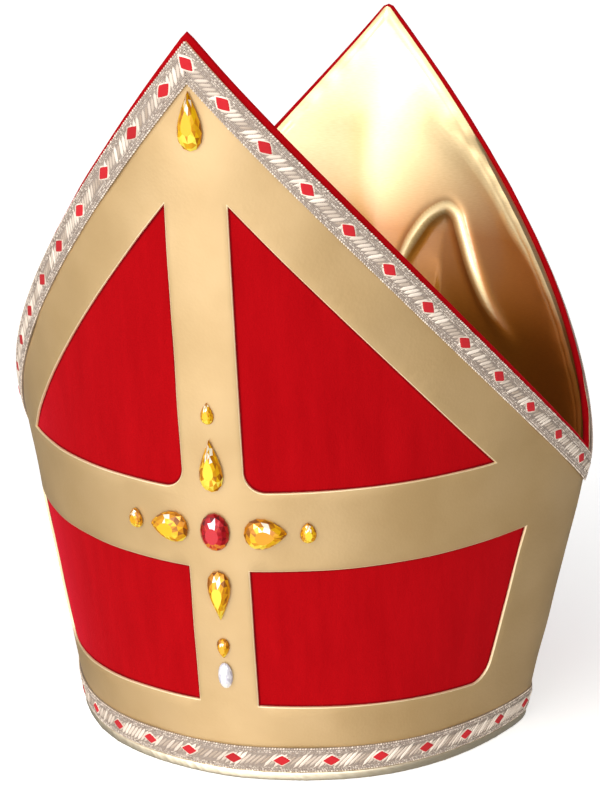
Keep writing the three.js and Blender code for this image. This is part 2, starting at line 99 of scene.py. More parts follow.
def per_mm(size: float) -> float:
    """The scale of a pattern on coordinates in metres that repeats once in this many millimetres."""
    return 1 / (size * MM)


def add_node(tree: NodeTree, kind: str, settings: dict | None = None, inputs: dict | None = None) -> Node:
    """Adds a node with its settings, its input values and the links into it.

    Args:
        tree: The node tree.
        kind: The node's type name.
        settings: The node's own properties.
        inputs: A value, or the socket to link from, for each input's name or number.

    Returns:
        The new node.
    """
    made = tree.nodes.new(kind)
    for name, value in (settings or {}).items():
        setattr(made, name, value)
    for name, value in (inputs or {}).items():
        if isinstance(value, NodeSocket):
            tree.links.new(value, made.inputs[name])
        else:
            made.inputs[name].default_value = value
    return made


def add_ramp(tree: NodeTree, source: NodeSocket, stops: list[tuple[float, str]]) -> NodeSocket:
    """Adds a colour ramp.

    Args:
        tree: The node tree.
        source: The socket with the value to colour.
        stops: Places from 0 to 1 and their hex colours, in order.

    Returns:
        The ramp's colour socket.
    """
    ramp = add_node(tree, "ShaderNodeValToRGB", inputs={"Fac": source})
    elements = ramp.color_ramp.elements
    while len(elements) < len(stops):
        elements.new(0.5)
    for element, (place, code) in zip(elements, stops):
        element.position = place
        element.color = linear(code)
    return ramp.outputs["Color"]


@dataclass(frozen=True)
class Finish:
    """A surface finish. Each kind of surface is a subclass that adds its own pattern nodes."""

    name: str

    def shader_values(self) -> dict:
        """The values on the Principled shader's own sockets."""
        return {}

    def dress(self, tree: NodeTree, shader: Node) -> None:
        """Adds the pattern nodes of this finish."""

    def build(self) -> Material:
        """Makes the material, or finds it where it is made already.

        Returns:
            The material.
        """
        made = bpy.data.materials.get(self.name)
        if made is not None:
            return made
        made = bpy.data.materials.new(self.name)
        made.use_nodes = True
        tree = made.node_tree
        shader = tree.nodes["Principled BSDF"]
        for socket, value in self.shader_values().items():
            shader.inputs[socket].default_value = value
        self.dress(tree, shader)
        return made


def pattern_place(tree: NodeTree, scale: tuple[float, float, float], turn: float = 0.0) -> NodeSocket:
    """The piece's own UV place, scaled for a pattern.

    Args:
        tree: The node tree.
        scale: The scale along and across the piece.
        turn: The pattern's turn in its plane, in radians.

    Returns:
        The vector socket.
    """
    place = add_node(tree, "ShaderNodeTexCoord")
    mapping = add_node(tree, "ShaderNodeMapping", inputs={
        "Vector": place.outputs["UV"], "Scale": scale, "Rotation": (0.0, 0.0, turn)})
    return mapping.outputs["Vector"]


@dataclass(frozen=True)
class CottonVelvet(Finish):
    """Short-pile cotton velvet: matt and deep red face on, brighter where the pile is seen from the side."""

    name: str = "red cotton velvet"
    deep: str = "#94040A"
    lit: str = "#9E060D"
    sheen: str = "#FF2A48"
    nap_width: float = 9.0
    nap_length: float = 45.0
    pile: float = 0.7

    def shader_values(self) -> dict:
        """Matt fibres with a strong sheen."""
        return {"Roughness": 0.95, "Specular IOR Level": 0.03, "Sheen Weight": 0.75,
                "Sheen Roughness": 0.3, "Sheen Tint": linear(self.sheen)}

    def dress(self, tree: NodeTree, shader: Node) -> None:
        """Nap marks, long in the pile's direction, and the pile, drawn coarse enough to show."""
        nap = add_node(tree, "ShaderNodeTexNoise", inputs={
            "Vector": pattern_place(tree, (per_mm(self.nap_width), per_mm(self.nap_length), 1.0)),
            "Scale": 1.0, "Detail": 4.0, "Roughness": 0.6})
        colour = add_ramp(tree, nap.outputs["Fac"], [(0.32, self.deep), (0.68, self.lit)])
        tree.links.new(colour, shader.inputs["Base Color"])
        pile = add_node(tree, "ShaderNodeTexNoise", inputs={
            "Vector": pattern_place(tree, (per_mm(self.pile), per_mm(self.pile * 2), 1.0)),
            "Scale": 1.0, "Detail": 2.0})
        bump = add_node(tree, "ShaderNodeBump", inputs={
            "Strength": 0.5, "Distance": 0.25 * MM, "Height": pile.outputs["Fac"]})
        tree.links.new(bump.outputs["Normal"], shader.inputs["Normal"])


@dataclass(frozen=True)
class Leatherette(Finish):
    """Polyurethane leather with a metallic gold coat: a soft broad shine over a fine embossed grain."""

    name: str = "gold leatherette"
    shade: str = "#BC9A64"
    light: str = "#C5A470"
    grain: float = 1.3
    cloud: float = 35.0

    def shader_values(self) -> dict:
        """A pigmented metallic coat, neither mirror nor chalk."""
        return {"Metallic": 0.45, "Roughness": 0.42,
                "Coat Weight": 0.5, "Coat IOR": 1.8, "Coat Roughness": 0.4}

    def dress(self, tree: NodeTree, shader: Node) -> None:
        """Faint clouds in the coat and an embossed grain, drawn coarse enough to show."""
        cloud = add_node(tree, "ShaderNodeTexNoise", inputs={
            "Vector": pattern_place(tree, (per_mm(self.cloud), per_mm(self.cloud), 1.0)),
            "Scale": 1.0, "Detail": 3.0})
        colour = add_ramp(tree, cloud.outputs["Fac"], [(0.35, self.shade), (0.65, self.light)])
        tree.links.new(colour, shader.inputs["Base Color"])
        grain = add_node(tree, "ShaderNodeTexVoronoi", {"feature": "F1"}, {
            "Vector": pattern_place(tree, (per_mm(self.grain), per_mm(self.grain), 1.0)), "Scale": 1.0})
        bump = add_node(tree, "ShaderNodeBump", inputs={
            "Strength": 0.35, "Distance": 0.12 * MM, "Height": grain.outputs["Distance"]})
        tree.links.new(bump.outputs["Normal"], shader.inputs["Normal"])


@dataclass(frozen=True)
class Satin(Finish):
    """Polyester satin: its floating threads shine white on gold, with painted shade that darkens it lower in
    the hollow.

    The heights between which the painted shade darkens it are in metres, as Object coordinates are.
    """

    name: str = "gold satin"
    shade: str = "#D8B87C"
    light: str = "#E2C48A"
    thread: float = 0.45
    roughness: float = 0.42
    gloss: float = 1.9
    # Colours of the painted shade: deepest low in the hollow, and half way up.
    hollow: str = "#946C30"
    half_way: str = "#B88638"
    hollow_from: float = 0.16
    hollow_to: float = 0.245
    deepens: bool = True

    def shader_values(self) -> dict:
        """Deep gold fibres under a white gloss, the light that the threads throw back uncoloured."""
        return {"Metallic": 0.92, "Roughness": self.roughness,
                "Coat Weight": 1.0, "Coat IOR": self.gloss, "Coat Roughness": 0.18}

    def dress(self, tree: NodeTree, shader: Node) -> None:
        """Threads drawn coarse enough to show, with painted shade lower in the hollow and a painted
        highlight on the crests of folds.
        """
        weave = add_node(tree, "ShaderNodeTexNoise", inputs={
            "Vector": pattern_place(tree, (per_mm(self.thread * 8), per_mm(self.thread), 1.0)),
            "Scale": 1.0, "Detail": 2.0})
        colour = add_ramp(tree, weave.outputs["Fac"], [(0.3, self.shade), (0.7, self.light)])
        # Painted shade: by height alone, the base colour darkens and the white gloss fades lower in the
        # hollow.
        if self.deepens:
            place = add_node(tree, "ShaderNodeTexCoord")
            height = add_node(tree, "ShaderNodeSeparateXYZ", inputs={0: place.outputs["Object"]})
            level = add_node(tree, "ShaderNodeMapRange", inputs={
                "Value": height.outputs["Z"], "From Min": self.hollow_from, "From Max": self.hollow_to})
            # Painted highlight: on fold crests the painted shade is lifted back to full.
            crest = add_node(tree, "ShaderNodeAttribute", {"attribute_name": "crest"})
            pale = add_node(tree, "ShaderNodeMath", {"operation": "MAXIMUM"}, {
                0: level.outputs["Result"], 1: crest.outputs["Fac"]}).outputs[0]
            depth = add_ramp(tree, pale, [(0.0, self.hollow), (0.5, self.half_way), (1.0, "#FFFFFF")])
            colour = add_node(tree, "ShaderNodeMix", {"data_type": "RGBA", "blend_type": "MULTIPLY"}, {
                0: 1.0, 6: colour, 7: depth}).outputs[2]
            # The white gloss fades with the painted shade and comes back with the painted highlight.
            tree.links.new(pale, shader.inputs["Coat Weight"])
        tree.links.new(colour, shader.inputs["Base Color"])
        bump = add_node(tree, "ShaderNodeBump", inputs={
            "Strength": 0.15, "Distance": 0.1 * MM, "Height": weave.outputs["Fac"]})
        tree.links.new(bump.outputs["Normal"], shader.inputs["Normal"])


@dataclass(frozen=True)
class MetallicThread(Finish):
    """Flat metallic yarn of a woven braid, whose strands differ a little in tone."""

    dark: str
    light: str
    metallic: float
    roughness: float

    def shader_values(self) -> dict:
        """A thin metal film round a fibre core."""
        return {"Metallic": self.metallic, "Roughness": self.roughness}

    def dress(self, tree: NodeTree, shader: Node) -> None:
        """The tone of each strand comes from the attribute that its row of strands carries."""
        tone = add_node(tree, "ShaderNodeAttribute", {"attribute_name": "tone"})
        colour = add_ramp(tree, tone.outputs["Fac"], [(0.0, self.dark), (1.0, self.light)])
        tree.links.new(colour, shader.inputs["Base Color"])


@dataclass(frozen=True)
class WovenGround(Finish):
    """Ground weave of the braid between its raised strands: dull silver yarn."""

    name: str = "silver ground weave"
    dark: str = "#84746A"
    light: str = "#B0A294"
    thread: float = 0.55

    def shader_values(self) -> dict:
        """Dull metal yarn."""
        return {"Metallic": 0.3, "Roughness": 0.55}

    def dress(self, tree: NodeTree, shader: Node) -> None:
        """Crossing threads of the weave, drawn coarse enough to show."""
        weave = add_node(tree, "ShaderNodeTexWave", {"wave_type": "BANDS", "bands_direction": "X"}, {
            "Vector": pattern_place(tree, (per_mm(self.thread), per_mm(self.thread), 1.0)),
            "Scale": 0.32, "Distortion": 2.0})
        colour = add_ramp(tree, weave.outputs["Fac"], [(0.1, self.dark), (0.9, self.light)])
        tree.links.new(colour, shader.inputs["Base Color"])
        bump = add_node(tree, "ShaderNodeBump", inputs={
            "Strength": 0.5, "Distance": 0.15 * MM, "Height": weave.outputs["Fac"]})
        tree.links.new(bump.outputs["Normal"], shader.inputs["Normal"])


@dataclass(frozen=True)
class FoiledAcrylic(Finish):
    """Cut acrylic with a foil back, painted facet by facet: the tones stand in for the light, shade and
    glints that the foil throws back.
    """

    deep: str = "#6A2E00"
    body: str = "#CA8000"
    bright: str = "#E6B200"
    low_glint: str = "#F2DC48"
    top_glint: str = "#F0E8D0"
    metallic: float = 0.25

    def shader_values(self) -> dict:
        """Polished acrylic over foil."""
        return {"Metallic": self.metallic, "Roughness": 0.12, "IOR": 1.49, "Coat Weight": 0.25,
                "Coat Roughness": 0.03, "Coat IOR": 1.49}

    def dress(self, tree: NodeTree, shader: Node) -> None:
        """Each facet has its painted tone from the attribute: painted shade, painted light or a painted
        glint.
        """
        tone = add_node(tree, "ShaderNodeAttribute", {"attribute_name": "tone"})
        colour = add_ramp(tree, tone.outputs["Fac"], [
            (0.0, self.deep), (0.35, self.body), (0.7, self.bright),
            (LOW_GLINT, self.low_glint), (TOP_GLINT, self.top_glint)])
        tree.links.new(colour, shader.inputs["Base Color"])


VELVET = CottonVelvet()
# Darker velvet: painted shade beside the leatherette's cut edges.
EDGE_SHADE_VELVET = CottonVelvet("crushed velvet", "#70040A", "#7E060C", "#C01830")
LEATHERETTE = Leatherette()
CUT_EDGE = Leatherette("leatherette cut edge", "#E8CFA0", "#F4DDB2")
SATIN = Satin()
BINDING_SATIN = Satin("binding satin", "#F2DEB8", "#FCEED2", 0.4, 0.45, 1.8, deepens=False)
GROUND = WovenGround()
BRIGHT_STRAND = MetallicThread("bright silver strands", "#A4917F", "#E6D8C8", 0.12, 0.5)
GREY_STRAND = MetallicThread("grey silver strands", "#8A7A6E", "#D6C8BA", 0.2, 0.5)
PICOT_STRAND = MetallicThread("pale edge strands", "#B8A696", "#EADCCB", 0.15, 0.5)
RED_STRAND = MetallicThread("red strands", "#A00610", "#BC0E1C", 0.0, 0.9)
AMBER = FoiledAcrylic("foiled amber acrylic")
RUBY = FoiledAcrylic("foiled ruby acrylic", "#4A0006", "#9A0610", "#C01020", "#D87818", "#F4D4DE")
CLEAR = FoiledAcrylic("foiled clear acrylic", "#A8A4B4", "#D4D2DC", "#F0F0F4", "#F8F4E8", "#FFFFFF")


def between_rows(wanted: np.ndarray, known: np.ndarray, rows: np.ndarray) -> np.ndarray:
    """Rows of coordinates at wanted places between known ones."""
    return np.stack([np.interp(wanted, known, rows[:, axis]) for axis in range(rows.shape[1])], -1)


@dataclass
class PanelShape:
    """The form of both panels: a cone unrolled into a flat pattern, eased towards the tips.

    A place on a panel is an angle from its centre line and a reach from the cone's point, or an x and y on
    the flat pattern, whose y is 0 on the centre line at the lower rim.
    """

    rim_half_width: float = 103.3
    rim_half_depth: float = 98.0
    seam_roundness: float = 1.77
    face_roundness: float = 1.33
    rim_shoulder: float = 0.4
    tip_shoulder: float = -0.03
    cone_depth: float = 483.0
    side_ease: float = 0.052
    face_ease: float = 0.066
    shape_height: float = 320.0
    front_height: float = 315.5
    back_height: float = 322.0
    seam_height: float = 131.5
    front_tip_radius: float = 1.2
    back_tip_radius: float = 4.0
    panel_gap: float = 0.3
    ruling_steps: int = 400
    slope_share: float = 0.02
    curve_rounds: int = 12
    crowding: float = 0.12

    def __post_init__(self) -> None:
        """Works out the cone's straight lines and the places that depend on them."""
        turn = np.linspace(0, math.pi / 2, self.ruling_steps + 1)
        across = self.rim_half_width * np.sin(turn) ** (2 / self.seam_roundness)
        out = self.rim_half_depth * np.abs(np.cos(turn)) ** (2 / self.face_roundness)
        lines = np.stack([across, out, np.full_like(turn, self.cone_depth)], -1)
        self.rim_reaches = np.linalg.norm(lines, axis=1)
        self.lines = lines / self.rim_reaches[:, None]
        cosines = np.clip(np.sum(self.lines[1:] * self.lines[:-1], axis=1), -1, 1)
        self.angles = np.concatenate([[0], np.cumsum(np.arccos(cosines))])
        self.seam_angle = float(self.angles[-1])
        self.centre_reach = float(self.rim_reaches[0])
        seam_reach = float(self.rim_reaches[-1]) + self.seam_height
        self.seam_top = np.array([seam_reach * math.sin(self.seam_angle),
                                  seam_reach * math.cos(self.seam_angle) - self.centre_reach])

    def height(self, side: Side) -> float:
        """Height of a panel's sharp tip on the flat pattern."""
        return self.front_height if side is Side.FRONT else self.back_height

    def rim_reach(self, angle: np.ndarray) -> np.ndarray:
        """Reach of the lower rim at each angle."""
        return np.interp(np.abs(angle), self.angles, self.rim_reaches)

    def face(self, side: Side, angle: np.ndarray, reach: np.ndarray) -> np.ndarray:
        """Points of the velvet's outer face.

        Args:
            side: The panel.
            angle: Angles from the centre line.
            reach: Reaches from the cone's point.

        Returns:
            One point a row, in millimetres.
        """
        turn = np.minimum(np.abs(angle), self.seam_angle)
        line = between_rows(turn, self.angles, self.lines)
        line /= np.linalg.norm(line, axis=-1, keepdims=True)
        point = line * reach[..., None]
        up = point[..., 2] - self.cone_depth
        rise = up / self.shape_height
        spread = 1 + up / self.cone_depth
        across = np.minimum((point[..., 0] / (self.rim_half_width * spread)) ** 2, 1)
        shoulder = self.rim_shoulder + (self.tip_shoulder - self.rim_shoulder) * rise
        out = point[..., 1] * (1 - self.face_ease * rise ** 2)
        out = out + self.rim_half_depth * spread * shoulder * across * (1 - across)
        x = np.where(angle < 0, -1, 1) * point[..., 0] * (1 - self.side_ease * rise ** 2)
        return np.stack([x, side.value * out, up], -1)

    def normal(self, side: Side, angle: np.ndarray, reach: np.ndarray) -> np.ndarray:
        """Outward directions of the velvet's face. At the side seam the panel is cut square."""
        climb = self.face(side, angle, reach + 1) - self.face(side, angle, reach - 1)
        step = self.seam_angle * self.slope_share
        before = self.face(side, np.maximum(angle - step, -self.seam_angle), reach)
        after = self.face(side, np.minimum(angle + step, self.seam_angle), reach)
        sideways = after - before
        sideways[np.abs(angle) >= self.seam_angle - 1e-6] = (0, side.value, 0)
        out = np.cross(sideways, climb)
        out /= np.linalg.norm(out, axis=-1, keepdims=True)
        share = angle / self.seam_angle
        facing = out[..., 0] * share + out[..., 1] * side.value
        return np.where(facing[..., None] < 0, -out, out)

    def skin(self, side: Side, angle: np.ndarray, reach: np.ndarray,
             offset: np.ndarray | float) -> np.ndarray:
        """Points at an offset from the velvet's face, kept clear of the plane between the panels.

        Args:
            side: The panel.
            angle: Angles from the centre line.
            reach: Reaches from the cone's point.
            offset: Distance outwards from the velvet's face.

        Returns:
            One point a row, in millimetres.
        """
        angle, reach, offset = np.broadcast_arrays(angle, reach, offset)
        point = self.face(side, angle, reach) + self.normal(side, angle, reach) * offset[..., None]
        point[..., 1] = side.value * np.maximum(np.abs(point[..., 1]), self.panel_gap / 2)
        return point

    def polar(self, x: np.ndarray, y: np.ndarray) -> tuple[np.ndarray, np.ndarray]:
        """Angle and reach of places on the flat pattern."""
        angle = np.arctan2(x, y + self.centre_reach)
        return np.clip(angle, -self.seam_angle, self.seam_angle), np.hypot(x, y + self.centre_reach)

    def flat(self, angle: np.ndarray, reach: np.ndarray) -> tuple[np.ndarray, np.ndarray]:
        """Place on the flat pattern of angles and reaches."""
        return reach * np.sin(angle), reach * np.cos(angle) - self.centre_reach

    def edge_directions(self, side: Side) -> tuple[np.ndarray, np.ndarray]:
        """Direction down the right slanting edge on the flat pattern, and its inward normal."""
        along = self.seam_top - np.array([0.0, self.height(side)])
        along /= np.linalg.norm(along)
        return along, np.array([along[1], -along[0]])

    def edge_reach(self, side: Side, angle: np.ndarray, inset: np.ndarray | float) -> np.ndarray:
        """Reach of a line inset from the slanting edge, blunted near the tip.

        Args:
            side: The panel.
            angle: Angles from the centre line.
            inset: Distance inwards from the edge.

        Returns:
            The reach at each angle.
        """
        _, normal = self.edge_directions(side)
        tip = self.front_tip_radius if side is Side.FRONT else self.back_tip_radius
        height = self.height(side) + self.centre_reach
        turn = np.abs(angle)
        line = (normal[1] * height + inset) / (normal[0] * np.sin(turn) + normal[1] * np.cos(turn))
        radius = np.maximum(tip - inset, 0)
        arc_x = line * np.sin(turn)
        inside = np.maximum(radius ** 2 - arc_x ** 2, 0)
        arc = (height + tip / normal[1] + np.sqrt(inside)) / np.cos(turn)
        return np.where(arc_x < radius * abs(normal[0]), np.minimum(line, arc), line)

    def curve_height(self, x: np.ndarray, above_rim: float, rise: float) -> np.ndarray:
        """Height on the flat pattern of a curve that runs above the rim and rises towards the seam."""
        y = np.full_like(x, above_rim)
        for _ in range(self.curve_rounds):
            angle, _ = self.polar(x, y)
            reach = self.rim_reach(angle) + above_rim + rise * (angle / self.seam_angle) ** 2
            y = np.sqrt(reach ** 2 - x ** 2) - self.centre_reach
        return y

    def columns(self, half: int) -> np.ndarray:
        """Angles from seam to seam, closer together at the tip and the seams.

        Args:
            half: How many columns a half panel has.

        Returns:
            The angles, from left to right.
        """
        share = np.linspace(0, 1, half + 1)
        right = self.seam_angle * (share - self.crowding * np.sin(2 * math.pi * share) / math.pi)
        return np.concatenate([-right[:0:-1], right])

    def once_round(self, half: int) -> tuple[tuple[Side, np.ndarray], ...]:
        """Each panel with its angles, in order once round the mitre."""
        angles = self.columns(half)
        return (Side.FRONT, angles), (Side.BACK, angles[1:-1][::-1])


def ripple(x: np.ndarray, y: np.ndarray | float, wavelength: float, seed: int, waves: int = 7) -> np.ndarray:
    """Smooth random waves over a surface.

    Args:
        x: First coordinates, in millimetres.
        y: Second coordinates.
        wavelength: The middle wavelength.
        seed: Seed of the random directions.
        waves: How many waves are added.

    Returns:
        Heights whose spread is about 1.
    """
    total = np.zeros(np.broadcast(x, y).shape)
    for turn, phase, stretch in np.random.default_rng(seed).random((waves, 3)):
        number = 2 * math.pi / (wavelength * (0.7 + 0.6 * stretch))
        along = x * math.cos(turn * math.pi) + y * math.sin(turn * math.pi)
        total = total + np.sin(number * along + phase * 2 * math.pi)
    return total * math.sqrt(2 / waves)


def in_scene(name: str, data: ID) -> Object:
    """Makes an object of a mesh, camera or light and puts it in the scene."""
    made = bpy.data.objects.new(name, data)
    bpy.context.scene.collection.objects.link(made)
    return made


def face_outwards(mesh: Mesh) -> None:
    """Turns a closed mesh whose faces point inwards."""
    mesh.calc_loop_triangles()
    points = np.array([v.co for v in mesh.vertices])
    corners = np.array([t.vertices for t in mesh.loop_triangles])
    a, b, c = points[corners[:, 0]], points[corners[:, 1]], points[corners[:, 2]]
    if float(np.einsum("ij,ij->i", a, np.cross(b, c)).sum()) < 0:
        mesh.flip_normals()


def new_piece(name: str, points: np.ndarray, faces: list, finishes: list[Finish],
              uv: np.ndarray | None = None, finish_of: np.ndarray | None = None,
              sharp: float | None = 50.0) -> Object:
    """Makes a closed mesh object at the origin, whose faces point outwards.

    Args:
        name: The piece's name.
        points: Points in millimetres, one a row.
        faces: Faces as tuples of point numbers.
        finishes: The piece's finishes.
        uv: A place for each point, in millimetres.
        finish_of: The number of the finish of each face.
        sharp: Edges sharper than this many degrees stay sharp, or every edge where it is None.

    Returns:
        The new object, in the scene.
    """
    mesh = bpy.data.meshes.new(name)
    mesh.from_pydata((np.asarray(points) * MM).tolist(), [], faces)
    for finish in finishes:
        mesh.materials.append(finish.build())
    if uv is not None:
        loops = np.zeros(len(mesh.loops), dtype=np.int32)
        mesh.loops.foreach_get("vertex_index", loops)
        layer = mesh.uv_layers.new(name="pattern")
        layer.data.foreach_set("uv", (np.asarray(uv)[loops] * MM).astype(np.float32).ravel())
    if finish_of is not None:
        mesh.polygons.foreach_set("material_index", np.asarray(finish_of, dtype=np.int32))
    mesh.polygons.foreach_set("use_smooth", np.full(len(mesh.polygons), sharp is not None))
    if sharp is not None:
        mesh.set_sharp_from_angle(angle=math.radians(sharp))
    mesh.validate()
    mesh.update()
    face_outwards(mesh)
    return in_scene(name, mesh)


def ring_faces(sections: int, size: int, looped: bool) -> list[tuple[int, ...]]:
    """Faces of a sweep whose sections are closed rings, with flat ends where it isn't looped."""
    faces = []
    for section in range(sections if looped else sections - 1):
        here = section * size
        there = ((section + 1) % sections) * size
        for corner in range(size):
            after = (corner + 1) % size
            faces.append((here + corner, here + after, there + after, there + corner))
    if not looped:
        faces.append(tuple(range(size - 1, -1, -1)))
        faces.append(tuple(range((sections - 1) * size, sections * size)))
    return faces


def new_sweep(name: str, points: np.ndarray, uv: np.ndarray, finish: Finish, looped: bool = False) -> Object:
    """Makes a piece from rows of points, each row a closed section, and the place of each point."""
    return new_piece(name, points.reshape(-1, 3), ring_faces(*points.shape[:2], looped), [finish],
                     uv.reshape(-1, 2))


def finish_piece(made: Object, slot: str, *nodes: str) -> Object:
    """Puts a piece on the body, hides the CAD nodes that it stands for, and reports it.

    Args:
        made: The piece.
        slot: The record's material slot; not used.
        nodes: The CAD nodes that it stands for.

    Returns:
        The piece.
    """
    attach(made, BODY)
    if nodes:
        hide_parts(*nodes)
    log.info("%s: %d faces", made.name, len(made.data.polygons))
    return made


@dataclass
class VelvetPanel:
    """Stiff board covered in velvet, which wraps round its slanting edge to the inside."""

    shape: PanelShape
    side: Side
    thickness: float = 2.4
    bottom: float = 1.1
    half_columns: int = 70
    face_rows: int = 80
    back_rows: int = 14
    rim_rows: int = 9
    rim_wave: float = 0.22
    rim_wave_length: float = 26.0
    rim_share: float = 0.03

    def build(self) -> Object:
        """Makes the panel as one closed sheet with a rounded rim.

        Returns:
            The finished piece.
        """
        shape = self.shape
        angles = shape.columns(self.half_columns)
        radius = self.thickness / 2
        turn = np.linspace(0, math.pi, self.rim_rows)
        inset = np.concatenate([np.full(self.face_rows, radius), radius * (1 - np.sin(turn)),
                                np.full(self.back_rows, radius)])
        offset = np.concatenate([np.zeros(self.face_rows), -radius * (1 - np.cos(turn)),
                                 np.full(self.back_rows, -self.thickness)])
        share = np.concatenate([np.linspace(0, 1, self.face_rows, endpoint=False), np.ones(self.rim_rows),
                                np.linspace(1, 0, self.back_rows + 1)[1:]])
        angle = np.repeat(angles[:, None], len(share), axis=1)
        low = shape.rim_reach(angle) + self.bottom
        top = shape.edge_reach(self.side, angle, inset[None, :])
        reach = low + (top - low) * share[None, :]
        x, y = shape.flat(angle, reach)
        near_rim = np.exp(-((1 - share) / self.rim_share) ** 2)[None, :]
        wave = self.rim_wave * ripple(x, y, self.rim_wave_length, seed=11) * near_rim
        out = offset[None, :] + wave / 2 * np.where(offset > -radius, 1, -1)[None, :]
        points = shape.skin(self.side, angle, reach, out)
        made = new_sweep(f"{self.side.label}_velvet", points, np.stack([x, y], -1), VELVET)
        return finish_piece(made, "velvet", f"{self.side.label}_panel")


def inside(points: np.ndarray, loop: np.ndarray) -> np.ndarray:
    """Which points lie inside a closed outline, by counting crossings.

    Args:
        points: Places on the flat pattern.
        loop: The outline's corners in order.

    Returns:
        A truth value for each point.
    """
    result = np.zeros(len(points), dtype=bool)
    for (x0, y0), (x1, y1) in zip(loop, np.roll(loop, -1, axis=0)):
        spans = (y0 > points[:, 1]) != (y1 > points[:, 1])
        with np.errstate(divide="ignore", invalid="ignore"):
            cross = x0 + (points[:, 1] - y0) * (x1 - x0) / (y1 - y0)
        result ^= spans & (points[:, 0] < cross)
    return result


def parallel_loop(loop: np.ndarray, distance: float) -> np.ndarray:
    """An outline moved sideways by a distance, to the left of its direction."""
    before = loop - np.roll(loop, 1, axis=0)
    after = np.roll(loop, -1, axis=0) - loop
    before /= np.linalg.norm(before, axis=1, keepdims=True)
    after /= np.linalg.norm(after, axis=1, keepdims=True)
    left = np.stack([-(before + after)[:, 1], (before + after)[:, 0]], -1)
    left /= np.linalg.norm(left, axis=1, keepdims=True)
    half = np.sqrt(np.maximum((1 + np.sum(before * after, axis=1)) / 2, LEAST_CORNER))
    return loop + left * (distance / half)[:, None]


def signed_area(loop: np.ndarray) -> float:
    """Area of an outline, positive where it runs anticlockwise."""
    nxt = np.roll(loop, -1, axis=0)
    return float(np.sum(loop[:, 0] * nxt[:, 1] - nxt[:, 0] * loop[:, 1]) / 2)


def spaced(line: np.ndarray, step: float) -> np.ndarray:
    """Points about a step apart along a line, both ends included."""
    length = np.concatenate([[0], np.cumsum(np.linalg.norm(np.diff(line, axis=0), axis=1))])
    count = max(int(round(length[-1] / step)), 1)
    wanted = np.linspace(0, length[-1], count + 1)
    return between_rows(wanted, length, line)


def on_curve(wanted: np.ndarray | float, x: np.ndarray, y: np.ndarray) -> np.ndarray:
    """Places of a curve at one or more x."""
    wanted = np.atleast_1d(wanted)
    return np.stack([wanted, np.interp(wanted, x, y)], -1)


